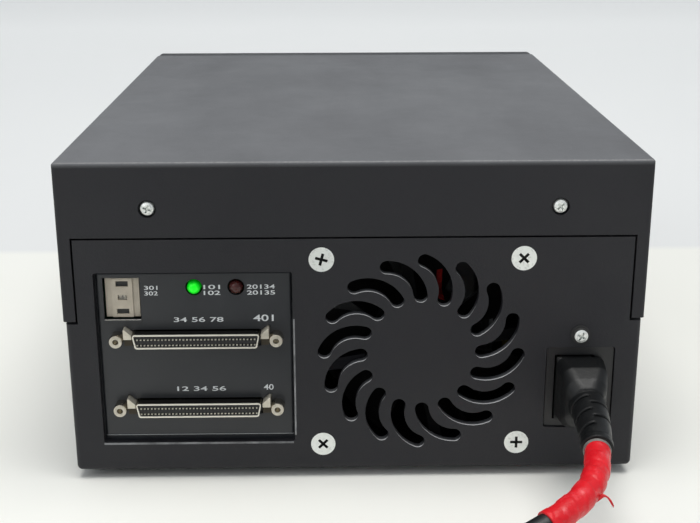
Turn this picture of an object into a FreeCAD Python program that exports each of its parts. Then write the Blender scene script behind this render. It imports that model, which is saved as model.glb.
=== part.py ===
import FreeCAD, Part
import math
import os

# A free-standing data tape drive, in millimetres.
# +X runs to the right when the connector panel is looked at, +Y from that panel to the front
# bezel, +Z up. The origin is on the table, under the middle of the case.

os.makedirs("parts", exist_ok=True)

Vector = FreeCAD.Vector
X_AXIS = Vector(1, 0, 0)
Y_AXIS = Vector(0, 1, 0)
Z_AXIS = Vector(0, 0, 1)

# ---------------------------------------------------------------- case
wall = 3.2                      # moulded shells
seat_gap = 0.3                  # between pieces that are set beside each other
foot_height = 3.5
foot_diameter = 14.0
foot_inset = 17.0               # foot centre from the sides of the case
foot_recess = 1.0               # the feet sit in shallow seats under the floor
lower_inset = 0.8               # the lower shell is narrower than the cover on each side
seam_gap = 1.0                  # open joint between the sides of the two shells
tongue_gap = 0.7                # joint round the rear tongue of the lower shell
side_split = 58.0               # height of the lower shell's sides
band_height = 27.0              # rear band of the cover, above the tongue
strip_width = 4.6               # rear strips of the cover, beside the tongue
edge_radius = 1.2
base_radius = 2.0
bezel_depth = 12.0
bezel_wall = 3.0
bezel_radius = 2.5
opening_radius = 1.0            # corners of the openings in the rear wall
cover_screw_inset = 32.15       # from the side of the case
cover_screw_drop = 16.5         # from the top of the case
cover_shank = 1.45
cover_head_radius = 2.55
cover_head_height = 1.9
cover_sink_radius = 3.15        # the screw heads sit in shallow wells
cover_sink = 1.6
cover_tab_thickness = 3.0
cover_tab_margin = 12.0         # tab beyond the screws, sideways
cover_tab_rise = 7.0            # tab above the screws
cover_boss_radius = 4.5
cover_boss_length = 5.0
screw_spare = 1.0               # boss beyond the end of its screw
screw_gap = 0.05                # radial, screws in their holes
foot_gap = 0.1
foot_chamfer = 0.6
roof_rib_width = 1.6
roof_rib_height = 2.5
roof_rib_inset = 12.0
floor_vents = 6
floor_vent_pitch = 9.0
floor_vent_width = 3.0
floor_vent_length = 60.0
floor_vent_start = 55.0         # first vent, in front of the drive's rear end
side_clearance = 3.4            # drive to the inside of the lower shell

# ---------------------------------------------------------------- fan and its grille
fan_size = 80.0
fan_depth = 25.0
fan_screw_inset = 4.25
fan_floor_gap = 2.75
tongue_margin = 3.35            # tongue above the fan
fan_flange = 4.0
fan_bore_inset = 1.7            # ring of the duct
fan_hub_radius = 19.0
fan_hub_wall = 1.8
fan_tip_gap = 0.7
fan_blades = 7
fan_shaft_radius = 1.5
running_gap = 0.06              # radial, shafts in their bearings
fan_tube_radius = 4.2
fan_rib = 1.4
fan_rib_gap = 0.4
grille_slots = 16
slot_width = 5.0
slot_rim = 5.0                  # outer slot ends, inside the edge of the fan
slot_hub_gap = 2.9              # inner slot ends, outside the fan's hub
slot_turn = 19.9                # degrees from the outer to the inner end
slot_bow = 3.1                  # how far a slot's middle line bows out
slot_phase = 88.7               # degrees, outer end of the first slot
fan_screw_head = 9.0
fan_screw_sink = 2.3
fan_screw_radius = 2.3
fan_screw_point = 1.5
fan_screw_recess = 1.6
fan_rib_depth = 8.0
fan_frame_corner = 3.0
fan_cup_gap = 0.6               # cup and struts, inside the frame's rear face
cup_thickness = 2.6
cup_margin = 0.8                # cup beyond the hub
strut_width = 4.2
strut_phase = 100.0             # degrees
bearing_pocket = 0.8
rotor_rear_gap = 4.0
rotor_front_gap = 1.4
hub_radius = 1.5                # rounding of the hub's front edge
blade_chords = (19.0, 22.5, 25.0)
blade_pitches = (48.0, 38.0, 31.0)
blade_cambers = (2.2, 2.4, 2.2)
blade_thickness = 1.6
blade_edge = 0.7
blade_end_gap = 0.3
blade_phase = 12.0              # degrees
stator_board = 1.2
stator_board_gap = 1.2
stator_lift = 2.2               # windings above the cup
stator_height = 7.8
stator_core_wall = 2.4
stator_air_gap = 0.8
stator_shoe = 1.6
shoe_inset = 1.2
pole_width = 3.2
coil_width = 7.2
coil_gap = 0.4
shoe_slit = 2.4

# ---------------------------------------------------------------- connector window
sheet = 1.0                     # steel plate of the window
plate_recess = 2.2
plate_gap = 0.4
plate_bottom_gap = 1.7
plate_lip = 3.5
io_side_margin = 11.7
io_floor_gap = 8.2
fan_io_gap = 6.1
contact_pitch = 1.27
contacts_per_row = 34
shell_end_margin = 3.59         # shell beyond the outer contacts, both ends together
shell_height = 5.3
shell_slant = 1.0
shell_sheet = 0.45
shell_reach = 5.0               # shell and posts stand out of the plate
row_spacing = 2.1
row_shift = 0.5                 # the rows lie below the middle of the shell
jack_side_gap = 5.85            # shell end to the post
jack_margin_left = 7.0
jack_margin_right = 6.1
jack_flats = 4.8
jack_bore = 1.1
jack_shank = 1.4
slot_above = 0.3                # the plate's slot beyond the shell
slot_below = 0.9
jack_hole_gap = 0.2
jack_chamfer = 1.2
jack_face_inset = 0.2           # round face inside the flats
jack_rounding = 0.15            # round beyond the flats
jack_floor = 0.5                # left at the bottom of a post's bore
jack_shank_gap = 4.0            # end of a post's shank, behind the board
shell_corner = 0.9
shell_root = 0.2                # shell behind the plate
insulator_gap = 0.05
nose_setback = 0.5              # insulator inside the edge of its shell
block_margin = 1.6
groove_depth = 2.4
contact_setback = 0.2           # contacts behind the insulator's nose
contact_height = 0.5
contact_width = 0.58
contact_end_gap = 0.05
lower_connector_rise = 13.9
indicator_rise = 18.95
indicator_margin = 6.15
window_trim = 14.2              # the window is lower than the fan
led_radius = 2.45
led_hole_gap = 0.55
led_reach = 2.2                 # dome out of the plate
led_length = 8.0
led_rim = 0.4
led_rim_length = 1.0
led_leg_pitch = 2.54
led_leg = 0.5
activity_led_offset = 35.2      # from the left edge of the window
fault_led_offset = 50.15
board_depth = 16.0              # connector board behind the rear face
board_thickness = 1.6
board_margin = 3.0
header_width = 50.0
header_height = 8.0
header_depth = 8.0
header_wall = 1.5
header_floor = 2.0
chip_width = 12.0
chip_height = 8.0
chip_thickness = 1.6
chip_pitch = 18.0
chip_row_offset = 21.0
ear_width = 2.9
ear_gap = 0.35
ear_low = 2.6
ear_step = 0.45                 # the ear stands back below this
ear_peak = 4.1
ear_root = 1.9
ear_nose = 0.6
ear_reach = 3.6
ear_low_reach = 1.6
ear_clearance = 0.25
bracket_sheet = 1.2
bracket_half = 3.4
bracket_margin = 3.0            # bracket beyond its post

# ---------------------------------------------------------------- identity switch
switch_width = 12.1
switch_height = 14.6
switch_offset = 9.4            # centre from the left edge of the window
switch_drop = 4.2               # centre below the indicators
switch_recess = 1.9             # face behind the plate's face
switch_column = 7.4
switch_column_rise = 0.6
switch_window_gap = 0.55
switch_lip = 0.8                # bent out of the plate under the window
switch_lip_reach = 0.5
digit_window_width = 3.3
digit_window_height = 1.9
wheel_radius = 4.0
wheel_width = 3.2
wheel_gap = 0.3
wheel_pin_radius = 0.8
wheel_pin_gap = 0.05
wheel_pin_length = 1.0
wheel_teeth = 10
wheel_notch_radius = 0.45
wheel_notch_length = 0.7
switch_face = 1.0               # wall in front of the wheel
switch_floor = 0.6
key_width = 4.1
key_height = 1.7
key_gap = 0.15
key_spacing = 10.4
key_length = 2.6
key_recess = 0.5
key_well = 6.5
key_dish_radius = 3.0
key_dish = 0.2

# ---------------------------------------------------------------- inlet and supply
inlet_fan_gap = 5.4
inlet_width = 24.2
inlet_height = 30.9
inlet_gap = 0.3
inlet_side_margin = 9.7
inlet_floor_gap = 13.0
inlet_recess = 0.8
inlet_flange = 2.0
inlet_flange_lap = 2.2
inlet_depth = 24.0
inlet_corner = 1.0
socket_width = 18.4
socket_height = 25.3
socket_depth = 16.0
socket_wall = 1.4
socket_bevel = 4.5
pin_setback = 1.5               # pins inside the face of the inlet
tab_length = 6.0
pin_spacing = 14.0
pin_offset = 2.0
pin_long = 4.0
pin_short = 2.0
plug_gap = 0.6
pin_gap = 0.25
plug_width = 17.4
plug_height = 24.4
plug_taper = 1.0
plug_stand = 0.6                # plug's block, clear of the rear face
shoulder_start = 9.0
shoulder_reach = 17.0
shoulder_width = 14.6
shoulder_height = 18.8
shoulder_dome = 3.2             # the block's end is rounded over this length
plug_corners = (3.0, 4.0, 5.0, 5.2)
boot_root_radius = 6.55
boot_radius = 6.1
boot_bend = 26.0                # where the boot turns downwards
boot_end_radius = 5.1
collar_radius = 5.5
collar_length = 3.0
boot_notches = 5
notch_start = 0.26
notch_step = 0.15
notch_width = 1.5
notch_core = 4.3
earth_screw_rise = 5.1
earth_screw_offset = 0.6
earth_shank = 1.7
earth_head_radius = 2.8
earth_head_height = 2.0
earth_washer_radius = 3.4
earth_washer = 0.6
earth_screw_end = 3.0
earth_tab_width = 11.0
earth_arm_rise = 4.4            # arm above the earth screw
earth_arm_lap = 8.0
supply_gap = 3.6                # drive to the supply bracket
supply_side_gap = 1.0
supply_setback = 6.0            # bracket behind the fan
supply_length = 165.0
supply_height = 62.0
bracket_wall = 1.5
bracket_vents = 10
bracket_vent_inset = 20.0
bracket_vent_share = 0.46       # of each vent's pitch
bracket_vent_drop = 12.0
bracket_vent_height = 18.0
lead_notch_length = 14.0
lead_notch_low = 5.0
lead_notch_high = 9.0
supply_board_rise = 6.0
supply_board_side = 3.0
supply_board_rear = 10.0
supply_board_front = 4.0
board_post_radius = 2.5
board_post_inset = 6.0
dc_header_offset = 10.0
dc_header_width = 14.0
ac_header_width = 9.0
supply_header_depth = 8.0
supply_header_height = 9.0
supply_header_inset = 1.0
transformer_length = 28.0
transformer_height = 24.0
transformer_width = 27.6
winding_lap = 4.0
winding_inset = 3.5
capacitor_radius = 11.0
capacitor_height = 32.0
small_capacitor_radius = 5.0
small_capacitor_height = 20.0
filter_length = 13.0
filter_width = 22.0
filter_height = 16.0
part_gap = 12.0                 # between the rows of parts on the board
sink_length = 37.0
sink_height = 34.0
sink_web = 1.6
sink_fin = 1.2
sink_fin_depth = 4.8
sink_fins = 8
sink_fin_rise = 6.0
wire_rise = 4.0                 # wires above the board
signal_wire_radius = 0.7
power_wire_radius = 0.8
mains_wire_radius = 1.1
sleeve_radius = 3.6

# ---------------------------------------------------------------- drive
drive_width = 146.0
drive_height = 82.5
drive_floor_gap = 8.8
cable_space = 28.8              # fan to the drive
rail_sheet = 1.2
rail_setback = 20.0
rail_length = 150.0
rail_height = 42.0
rail_foot = 15.0
rail_boss = 2.0
rail_boss_radius = 3.0
rail_boss_inset = 15.0
rail_screw_inset = 25.0
rail_screw_head = 2.6
rail_screw_head_height = 1.4
rail_screw_shank = 1.45
rail_screw_length = 5.0
cast_wall = 3.0
cast_base = 4.0
base_rise = 16.0                # underside of the casting's deck, above the drive's underside
cover_sheet = 1.0
cartridge_width = 102.0
cartridge_length = 105.4
cartridge_height = 21.5
cartridge_gap = 1.2
tray_sheet = 1.2
tray_rise = 38.0                # tray's underside above the drive's underside
tray_length = 100.0
tray_travel = 16.0
tray_lip = 6.0
tray_front_gap = 3.0            # tray behind the open door
tray_window_radius = 20.0
tray_notch = 30.0
tray_notch_margin = 3.0
ledge_height = 2.5
ledge_under = 5.2
ledge_gap = 0.1
ledge_drop = 3.0
throat_margin = 0.8             # throat of the bezel beyond the tray's bay, each side
throat_wall = 1.6
door_thickness = 2.0
door_barrel_margin = 0.5
door_gap = 0.35
door_recess = 1.2
door_pin = 0.9
door_pin_length = 1.2
pin_end_gap = 0.2
drive_bezel_gap = 0.3
drive_bezel_lap = 0.6
drive_bezel_corner = 1.5
drive_bezel_side = 2.0
drive_bezel_face = 3.0
eject_width = 12.0
eject_height = 6.0
eject_gap = 0.3
eject_reach = 1.8
eject_depth = 6.0
eject_collar = 1.0
eject_collar_depth = 2.6
eject_corner = 0.7
eject_inset = 16.0
eject_rise = 14.0
lens_radius = 1.5
lens_pitch = 9.0
lens_inset = 14.0
lens_count = 4
lens_gap = 0.05
lens_reach = 0.3
lens_depth = 3.6
reel_radius = 33.0
reel_front_gap = 2.0
reel_rear_gap = 3.1
reel_side_gap = 7.0
reel_hub_radius = 21.0
reel_flange = 1.2
tape_width = 12.65
reel_plane = 50.0               # middle of the tape above the drive's underside
reel_rim = 3.0                  # wall of the reel's hub
reel_web = 1.5
reel_catch = 4.0                # notch that takes the tape's leader
spindle_share = 0.8             # reel's sleeve as a share of the tape's width
motor_radius = 19.0
motor_height = 7.0
motor_corner = 1.0
motor_post_radius = 8.0
motor_gap = 0.6
spindle_radius = 3.0
spindle_reach = 4.0             # above the tape
clutch_spindle = 6.0
clutch_radius = 15.0
clutch_gap = 0.4
clutch_plate = 2.0
clutch_hub_drop = 5.0
clutch_teeth = 24
clutch_tooth = 3.0
clutch_tooth_inset = 0.4
clutch_tooth_root = 1.8
clutch_tooth_tip = 0.6
clutch_tooth_height = 1.6
roller_radius = 6.5
roller_pin_radius = 2.0
roller_spread = 36.0
roller_flange = 1.3
roller_lip = 1.5
roller_gap = 0.3
roller_post_radius = 5.0
roller_cap = 2.0
roller_lead = 4.0               # rollers in front of the head
head_side_gap = 12.0
head_gap = 12.0                 # head behind the loaded tray
head_width = 15.0
head_depth = 12.0
head_height = 15.0
head_travel = 1.3
head_clearance = 0.4
head_post_radius = 1.5
head_post_spread = 8.0
head_post_spare = 3.0
head_bump_radius = 2.6
head_bump_offset = 3.2
head_bump_rise = 0.6
head_table_width = 32.0
head_table_depth = 12.0
drive_power_offset = 44.0       # power socket, right of the drive's middle line
drive_power_width = 14.0
drive_port_margin = 2.0
drive_port_height = 10.0
drive_port_rise = 3.0
drive_board_rise = 5.0
drive_board_gap = 1.0
drive_board_front = 14.0
drive_socket_depth = 8.0
drive_socket_height = 4.0
drive_post_radius = 2.5
drive_post_side = 12.0
drive_post_end = 20.0
drive_chip_height = 2.4
drive_chips = (                 # place across and along the board, width and depth, as shares
    (-0.31, 0.29, 0.19, 0.14), (0.0, 0.29, 0.15, 0.11), (0.27, 0.34, 0.11, 0.13),
    (-0.31, 0.54, 0.12, 0.09), (0.03, 0.56, 0.16, 0.07), (0.26, 0.63, 0.10, 0.07),
)
drive_vents = 9
drive_vent_pitch = 8.0
drive_vent_width = 3.0
drive_vent_length = 35.0
drive_vent_inset = 20.0
ribbon_thickness = 0.9
ribbon_margin = 2.0
ribbon_bend = 4.0
ribbon_entry = 5.5
ribbon_rise = 2.0

# ---------------------------------------------------------------- power switch
rocker_width = 10.6
rocker_radius = 8.9
rocker_tilt = 9.0
rocker_gap = 0.4
rocker_pin_radius = 1.2
switch_wall = 1.3
switch_flange = 1.5
switch_flange_lap = 2.0
switch_depth = 18.0
switch_cavity = 10.0
switch_fit = 0.1
switch_corner = 1.5
rocker_pin_set = 1.5            # rocker's pin behind the bezel's face
rocker_drop = 14.0              # below the top of the drive
rocker_nose = 3.0
rocker_back = 5.0
terminal_width = 6.0
terminal_length = 7.0
terminal_thickness = 0.8
terminal_pitch = 10.0
vent_slots = 8
vent_slot_height = 2.4
vent_slot_pitch = 5.2
vent_slot_length = 28.0
vent_slot_rise = 12.0

# ---------------------------------------------------------------- cord
cord_diameter = 7.5
tape_thickness = 0.38
coil_mid_radius = 42.5
coil_strands = 3                # turns side by side
coil_layers = 2
coil_slack = 0.2                # between the layers, and 3 times that between the strands
coil_corner = 0.42              # of the cord's diameter
coil_x = -14.0
coil_y = -287.0
tape_share = 0.55               # of the run in which the tape ends
mains_plug_width = 26.0
mains_plug_length = 27.0
mains_plug_height = 24.0
mains_plug_lift = 0.4
mains_neck_length = 12.0
mains_neck_start = 5.0
mains_neck_end = 7.5
mains_plug_corner = 5.0
mains_blade_pitch = 12.7
mains_blade_thickness = 1.5
mains_blade_height = 6.4
mains_blade_length = 17.0
mains_blade_low = 9.0
earth_pin_radius = 2.4
earth_pin_length = 19.0
earth_pin_height = 20.0

# ---------------------------------------------------------------- sizes that follow
shell_width = (contacts_per_row - 1) * contact_pitch + shell_end_margin
jack_spacing = shell_width + 2 * jack_side_gap
io_width = jack_margin_left + jack_spacing + jack_margin_right
io_height = fan_size - window_trim
connector_spacing = io_height - lower_connector_rise - indicator_rise - indicator_margin
inlet_opening_width = inlet_width + 2 * inlet_gap
inlet_opening_height = inlet_height + 2 * inlet_gap
body_width = (
    io_side_margin + io_width + fan_io_gap + fan_size + inlet_fan_gap
    + inlet_opening_width + inlet_side_margin
)
slot_height = cartridge_height + 2 * cartridge_gap
door_barrel = door_thickness / 2 + door_barrel_margin
door_sweep = slot_height - 2 * door_gap - door_barrel
tray_setback = door_recess + door_thickness / 2 + door_sweep + tray_front_gap - bezel_depth
drive_depth = (
    tray_setback + tray_length + tray_travel + reel_front_gap + 2 * reel_radius
    + reel_rear_gap + cast_wall
)
body_depth = wall + fan_depth + cable_space + drive_depth + bezel_depth
upper_half = body_width / 2
lower_half = upper_half - lower_inset
inner_half = lower_half - wall
tongue_half = upper_half - strip_width - tongue_gap

rear = -body_depth / 2
front = rear + body_depth
shell_front = front - bezel_depth
inner_rear = rear + wall

base = foot_height
floor_top = base + wall
fan_z = floor_top + fan_floor_gap + fan_size / 2
tongue_top = fan_z + fan_size / 2 + tongue_margin
top = tongue_top + tongue_gap + band_height
split_top = base + side_split

io_left = -upper_half + io_side_margin
io_right = io_left + io_width
io_bottom = floor_top + io_floor_gap
io_top = io_bottom + io_height
connector_x = io_left + jack_margin_left + jack_spacing / 2
connector_levels = {
    "lower": io_bottom + lower_connector_rise,
    "upper": io_bottom + lower_connector_rise + connector_spacing,
}
indicator_z = connector_levels["upper"] + indicator_rise
plate_front = rear + plate_recess
plate_back = plate_front + sheet
board_front = rear + board_depth
board_back = board_front + board_thickness

fan_x = io_right + fan_io_gap + fan_size / 2
fan_bore = fan_size / 2 - fan_bore_inset
fan_back = inner_rear + fan_depth
fan_holes = [
    (fan_x + sx * (fan_size / 2 - fan_screw_inset), fan_z + sz * (fan_size / 2 - fan_screw_inset))
    for sx in (-1, 1)
    for sz in (-1, 1)
]

inlet_x = fan_x + fan_size / 2 + inlet_fan_gap + inlet_opening_width / 2
inlet_z = floor_top + inlet_floor_gap + inlet_opening_height / 2
earth_x = inlet_x - earth_screw_offset
earth_z = inlet_z + inlet_opening_height / 2 + earth_screw_rise

cover_screw_z = top - cover_screw_drop
cover_screw_x = upper_half - cover_screw_inset

switch_x = io_left + switch_offset
switch_z = indicator_z - switch_drop
switch_front = plate_front + switch_recess

drive_left = -inner_half + side_clearance
drive_right = drive_left + drive_width
drive_x = (drive_left + drive_right) / 2
drive_bottom = floor_top + drive_floor_gap
drive_top = drive_bottom + drive_height
drive_front = shell_front
drive_rear = drive_front - drive_depth
deck_top = drive_bottom + base_rise + cast_base

supply_left = drive_right + supply_gap
supply_right = inner_half - supply_side_gap
supply_rear = fan_back + supply_setback
supply_front = supply_rear + supply_length
supply_top = floor_top + supply_height


# ================================================================ shapes used throughout
def box(x0, x1, y0, y1, z0, z1):
    return Part.makeBox(x1 - x0, y1 - y0, z1 - z0, Vector(x0, y0, z0))


def rod(radius, start, end):
    """A round bar from one point to another."""
    run = end - start
    return Part.makeCylinder(radius, run.Length, start, run)


def rod_y(radius, x, z, y0, y1):
    return rod(radius, Vector(x, y0, z), Vector(x, y1, z))


def rod_z(radius, x, y, z0, z1):
    return rod(radius, Vector(x, y, z0), Vector(x, y, z1))


def rod_x(radius, y, z, x0, x1):
    return rod(radius, Vector(x0, y, z), Vector(x1, y, z))


def join(shapes):
    first, rest = shapes[0], shapes[1:]
    return first.multiFuse(rest).removeSplitter() if rest else first


def group(shapes):
    return Part.makeCompound(shapes)


def rounded_edges(corners, radii, closed=True):
    """Straight edges through the corners, with a tangent arc of its own radius at each one."""
    count = len(corners)
    bends = []
    for i, (corner, radius) in enumerate(zip(corners, radii)):
        if radius == 0:
            bends.append((corner, None, corner))
            continue
        back = (corners[i - 1] - corner).normalize()
        ahead = (corners[(i + 1) % count] - corner).normalize()
        half = back.getAngle(ahead) / 2
        reach = radius / math.tan(half)
        peak = corner + (back + ahead).normalize() * (radius / math.sin(half) - radius)
        bends.append((corner + back * reach, peak, corner + ahead * reach))
    edges = []
    for i, (start, peak, end) in enumerate(bends):
        if peak is not None:
            edges.append(Part.Arc(start, peak, end).toShape())
        following = bends[(i + 1) % count][0]
        if (closed or i < count - 1) and (following - end).Length > 1e-6:
            edges.append(Part.LineSegment(end, following).toShape())
    return edges


def outline_y(points, y, radius=0.0):
    """A closed outline in the X-Z plane at y."""
    corners = [Vector(x, y, z) for x, z in points]
    if radius:
        return Part.Wire(rounded_edges(corners, [radius] * len(corners)))
    return Part.makePolygon(corners + corners[:1])


def prism_y(points, y0, y1, radius=0.0):
    """An X-Z outline pushed along Y."""
    face = Part.Face(outline_y(points, y0, radius))
    return face.extrude(Vector(0, y1 - y0, 0))


def prism_x(points, x0, x1, radii=None):
    """A Y-Z outline pushed along X."""
    corners = [Vector(x0, y, z) for y, z in points]
    outline = Part.Wire(rounded_edges(corners, radii or [0] * len(corners)))
    return Part.Face(outline).extrude(Vector(x1 - x0, 0, 0))


def rectangle(x, z, width, height):
    return [
        (x - width / 2, z - height / 2),
        (x + width / 2, z - height / 2),
        (x + width / 2, z + height / 2),
        (x - width / 2, z + height / 2),
    ]


def round_box_y(x, z, width, height, y0, y1, radius):
    return prism_y(rectangle(x, z, width, height), y0, y1, radius)


def revolved(profile, origin, axis):
    """Radius and distance along the axis, turned about the axis at the origin."""
    side = Z_AXIS if abs(axis.z) < 0.5 else X_AXIS
    corners = [origin + side * radius + axis * along for radius, along in profile]
    face = Part.Face(Part.makePolygon(corners + corners[:1]))
    return face.revolve(origin, axis, 360)


def hexagon_y(x, z, flats, y0, y1):
    corner = flats / 2 / math.cos(math.radians(30))
    points = [
        (x + corner * math.cos(math.radians(60 * i)), z + corner * math.sin(math.radians(60 * i)))
        for i in range(6)
    ]
    return prism_y(points, y0, y1)


def cross_recess(x, z, y0, depth, span, turn):
    """The driver recess of a screw whose face looks along -Y."""
    arms = [box(x - span / 2, x + span / 2, y0 - depth, y0 + depth, z - span / 9, z + span / 9)]
    arms.append(box(x - span / 9, x + span / 9, y0 - depth, y0 + depth, z - span / 2, z + span / 2))
    recess = join(arms)
    recess.rotate(Vector(x, y0, z), Y_AXIS, turn)
    return recess


def pan_screw_y(x, z, seat, head_radius, head_height, shank_radius, length, turn):
    """A pan-head screw that points along +Y, with its head on a seat."""
    profile = [
        (0, -head_height),
        (head_radius * 0.55, -head_height),
        (head_radius * 0.88, -head_height * 0.72),
        (head_radius, -head_height * 0.3),
        (head_radius, 0),
        (shank_radius, 0),
        (shank_radius, length - shank_radius * 0.6),
        (shank_radius * 0.4, length),
        (0, length),
    ]
    screw = revolved(profile, Vector(x, seat, z), Y_AXIS)
    recess = cross_recess(x, z, seat - head_height, head_height * 0.7, head_radius * 1.15, turn)
    return screw.cut(recess)


def smooth_route(corners):
    """A centre line of straight runs joined by the largest tangent arcs that the runs allow."""
    radii = [0.0] * len(corners)
    for i in range(1, len(corners) - 1):
        back = corners[i - 1] - corners[i]
        ahead = corners[i + 1] - corners[i]
        turn = math.pi - back.getAngle(ahead)
        radii[i] = 0.45 * min(back.Length, ahead.Length) / math.tan(turn / 2)
    return Part.Wire(rounded_edges(corners, radii, closed=False)), radii[1:-1]


def lead(corners, radius):
    """A round wire or cord along a route, and the radii of its bends."""
    path, radii = smooth_route(corners)
    start = path.Edges[0].Vertexes[0].Point
    direction = corners[1] - corners[0]
    section = Part.Wire(Part.Circle(start, direction, radius).toShape())
    solid = path.makePipeShell([section], True, False)
    expected = math.pi * radius ** 2 * path.Length
    if abs(solid.Volume / expected - 1) > 0.01:
        print("a lead's volume is off:", solid.Volume, expected)
    return solid, radii, path.Length


def save(name, shape):
    shape.exportStep("parts/" + name + ".step")
    print(name, len(shape.Solids), round(shape.Volume / 1000, 2), shape.isValid())


# ================================================================ shells
def slot_outline(turn):
    """One curved grille slot with round ends, as an outline on the inside of the rear wall."""
    rim = fan_size / 2 - slot_rim
    hub = fan_hub_radius + slot_hub_gap
    outer_angle = math.radians(turn)
    inner_angle = math.radians(turn - slot_turn)
    outer = Vector(rim * math.cos(outer_angle), 0, rim * math.sin(outer_angle))
    inner = Vector(hub * math.cos(inner_angle), 0, hub * math.sin(inner_angle))
    chord = inner - outer
    radius = (chord.Length ** 2 / 4 + slot_bow ** 2) / (2 * slot_bow)
    across = Vector(chord.z, 0, -chord.x).normalize()
    if across.dot(outer) > 0:
        across = across * -1
    bow_side = across * -1
    middle = (outer + inner) * 0.5
    centre = middle + across * (radius - slot_bow)
    shift = Vector(fan_x, rear, fan_z)

    def on_arc(arm, size):
        return centre + (arm - centre).normalize() * size + shift

    peak = middle + bow_side * slot_bow
    far, near = radius + slot_width / 2, radius - slot_width / 2
    cap_outer = outer + cap_direction(outer, centre, inner) * (slot_width / 2) + shift
    cap_inner = inner + cap_direction(inner, centre, outer) * (slot_width / 2) + shift
    return Part.Wire([
        Part.Arc(on_arc(outer, far), on_arc(peak, far), on_arc(inner, far)).toShape(),
        Part.Arc(on_arc(inner, far), cap_inner, on_arc(inner, near)).toShape(),
        Part.Arc(on_arc(inner, near), on_arc(peak, near), on_arc(outer, near)).toShape(),
        Part.Arc(on_arc(outer, near), cap_outer, on_arc(outer, far)).toShape(),
    ])


def cap_direction(end, centre, other):
    """The way a slot's end points: along its middle line, away from the other end."""
    arm = (end - centre).normalize()
    tangent = Vector(arm.z, 0, -arm.x)
    return tangent if tangent.dot(end - other) > 0 else tangent * -1


def grille_cutters():
    step = 360.0 / grille_slots
    cutters = []
    for i in range(grille_slots):
        face = Part.Face(slot_outline(slot_phase - i * step))
        cutters.append(face.extrude(Vector(0, wall, 0)))
    return cutters


def countersink(x, z, head_radius, hole_radius, sink, depth):
    cone = Part.makeCone(head_radius, hole_radius, sink, Vector(x, rear, z), Y_AXIS)
    return join([cone, rod_y(hole_radius, x, z, rear, rear + depth)])


def edges_on(shape, test):
    return [e for e in shape.Edges if test(e.CenterOfMass, e)]


def foot_centres():
    x = lower_half - foot_inset
    return [
        (sx * x, y)
        for sx in (-1, 1)
        for y in (rear + foot_inset, shell_front - foot_inset)
    ]


def rail_boss_places():
    start = drive_rear + rail_setback
    return [
        (x + rail_foot / 2, y)
        for x in (drive_left - rail_sheet, drive_right + rail_sheet - rail_foot)
        for y in (start + rail_boss_inset, start + rail_length - rail_boss_inset)
    ]


def lower_shell():
    block = box(-lower_half, lower_half, rear, shell_front, base, split_top)
    rounded = edges_on(
        block,
        lambda c, e: (abs(c.z - base) < 1e-6 and c.y < shell_front - 1)
        or (abs(c.y - rear) < 1e-6 and abs(abs(c.x) - lower_half) < 1e-6),
    )
    block = block.makeFillet(base_radius, rounded)
    block = block.cut(box(-inner_half, inner_half, inner_rear, shell_front, floor_top, split_top))
    tongue = box(-tongue_half, tongue_half, rear, inner_rear, split_top, tongue_top)
    fan_top = fan_z + fan_size / 2
    tab_half = cover_screw_x + cover_tab_margin
    tab_back = inner_rear + cover_tab_thickness
    tab = box(-tab_half, tab_half, inner_rear, tab_back, fan_top + fan_rib_gap,
              cover_screw_z + cover_tab_rise)
    pieces = [block, tongue, tab]
    for sx in (-1, 1):
        pieces.append(rod_y(cover_boss_radius, sx * cover_screw_x, cover_screw_z, tab_back,
                            tab_back + cover_boss_length))
        rib_x = fan_x + sx * (fan_size / 2 + fan_rib_gap + fan_rib / 2)
        pieces.append(box(rib_x - fan_rib / 2, rib_x + fan_rib / 2, inner_rear, inner_rear + fan_rib_depth,
                          floor_top, fan_top))
    for x, y in rail_boss_places():
        pieces.append(rod_z(rail_boss_radius, x, y, floor_top, floor_top + rail_boss))
    shell = join(pieces)
    cutters = grille_cutters()
    cutters.append(round_box_y((io_left + io_right) / 2, (io_bottom + io_top) / 2, io_width, io_height,
                               rear, inner_rear, opening_radius))
    cutters.append(round_box_y(inlet_x, inlet_z, inlet_opening_width, inlet_opening_height,
                               rear, inner_rear, opening_radius))
    for x, z in fan_holes:
        cutters.append(countersink(x, z, fan_screw_head / 2 + screw_gap, fan_screw_radius + screw_gap,
                                   fan_screw_sink, wall))
    cutters.append(rod_y(earth_shank + screw_gap, earth_x, earth_z, rear, inner_rear))
    for sx in (-1, 1):
        cutters.append(rod_y(cover_shank + screw_gap, sx * cover_screw_x, cover_screw_z, inner_rear,
                             tab_back + cover_boss_length))
    for x, y in foot_centres():
        cutters.append(rod_z(foot_diameter / 2, x, y, base, base + foot_recess))
    for row in range(floor_vents):
        y = drive_rear + floor_vent_start + row * floor_vent_pitch
        cutters.append(box(drive_x - floor_vent_length / 2, drive_x + floor_vent_length / 2,
                           y, y + floor_vent_width, base, floor_top))
    return shell.cut(cutters)


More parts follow.
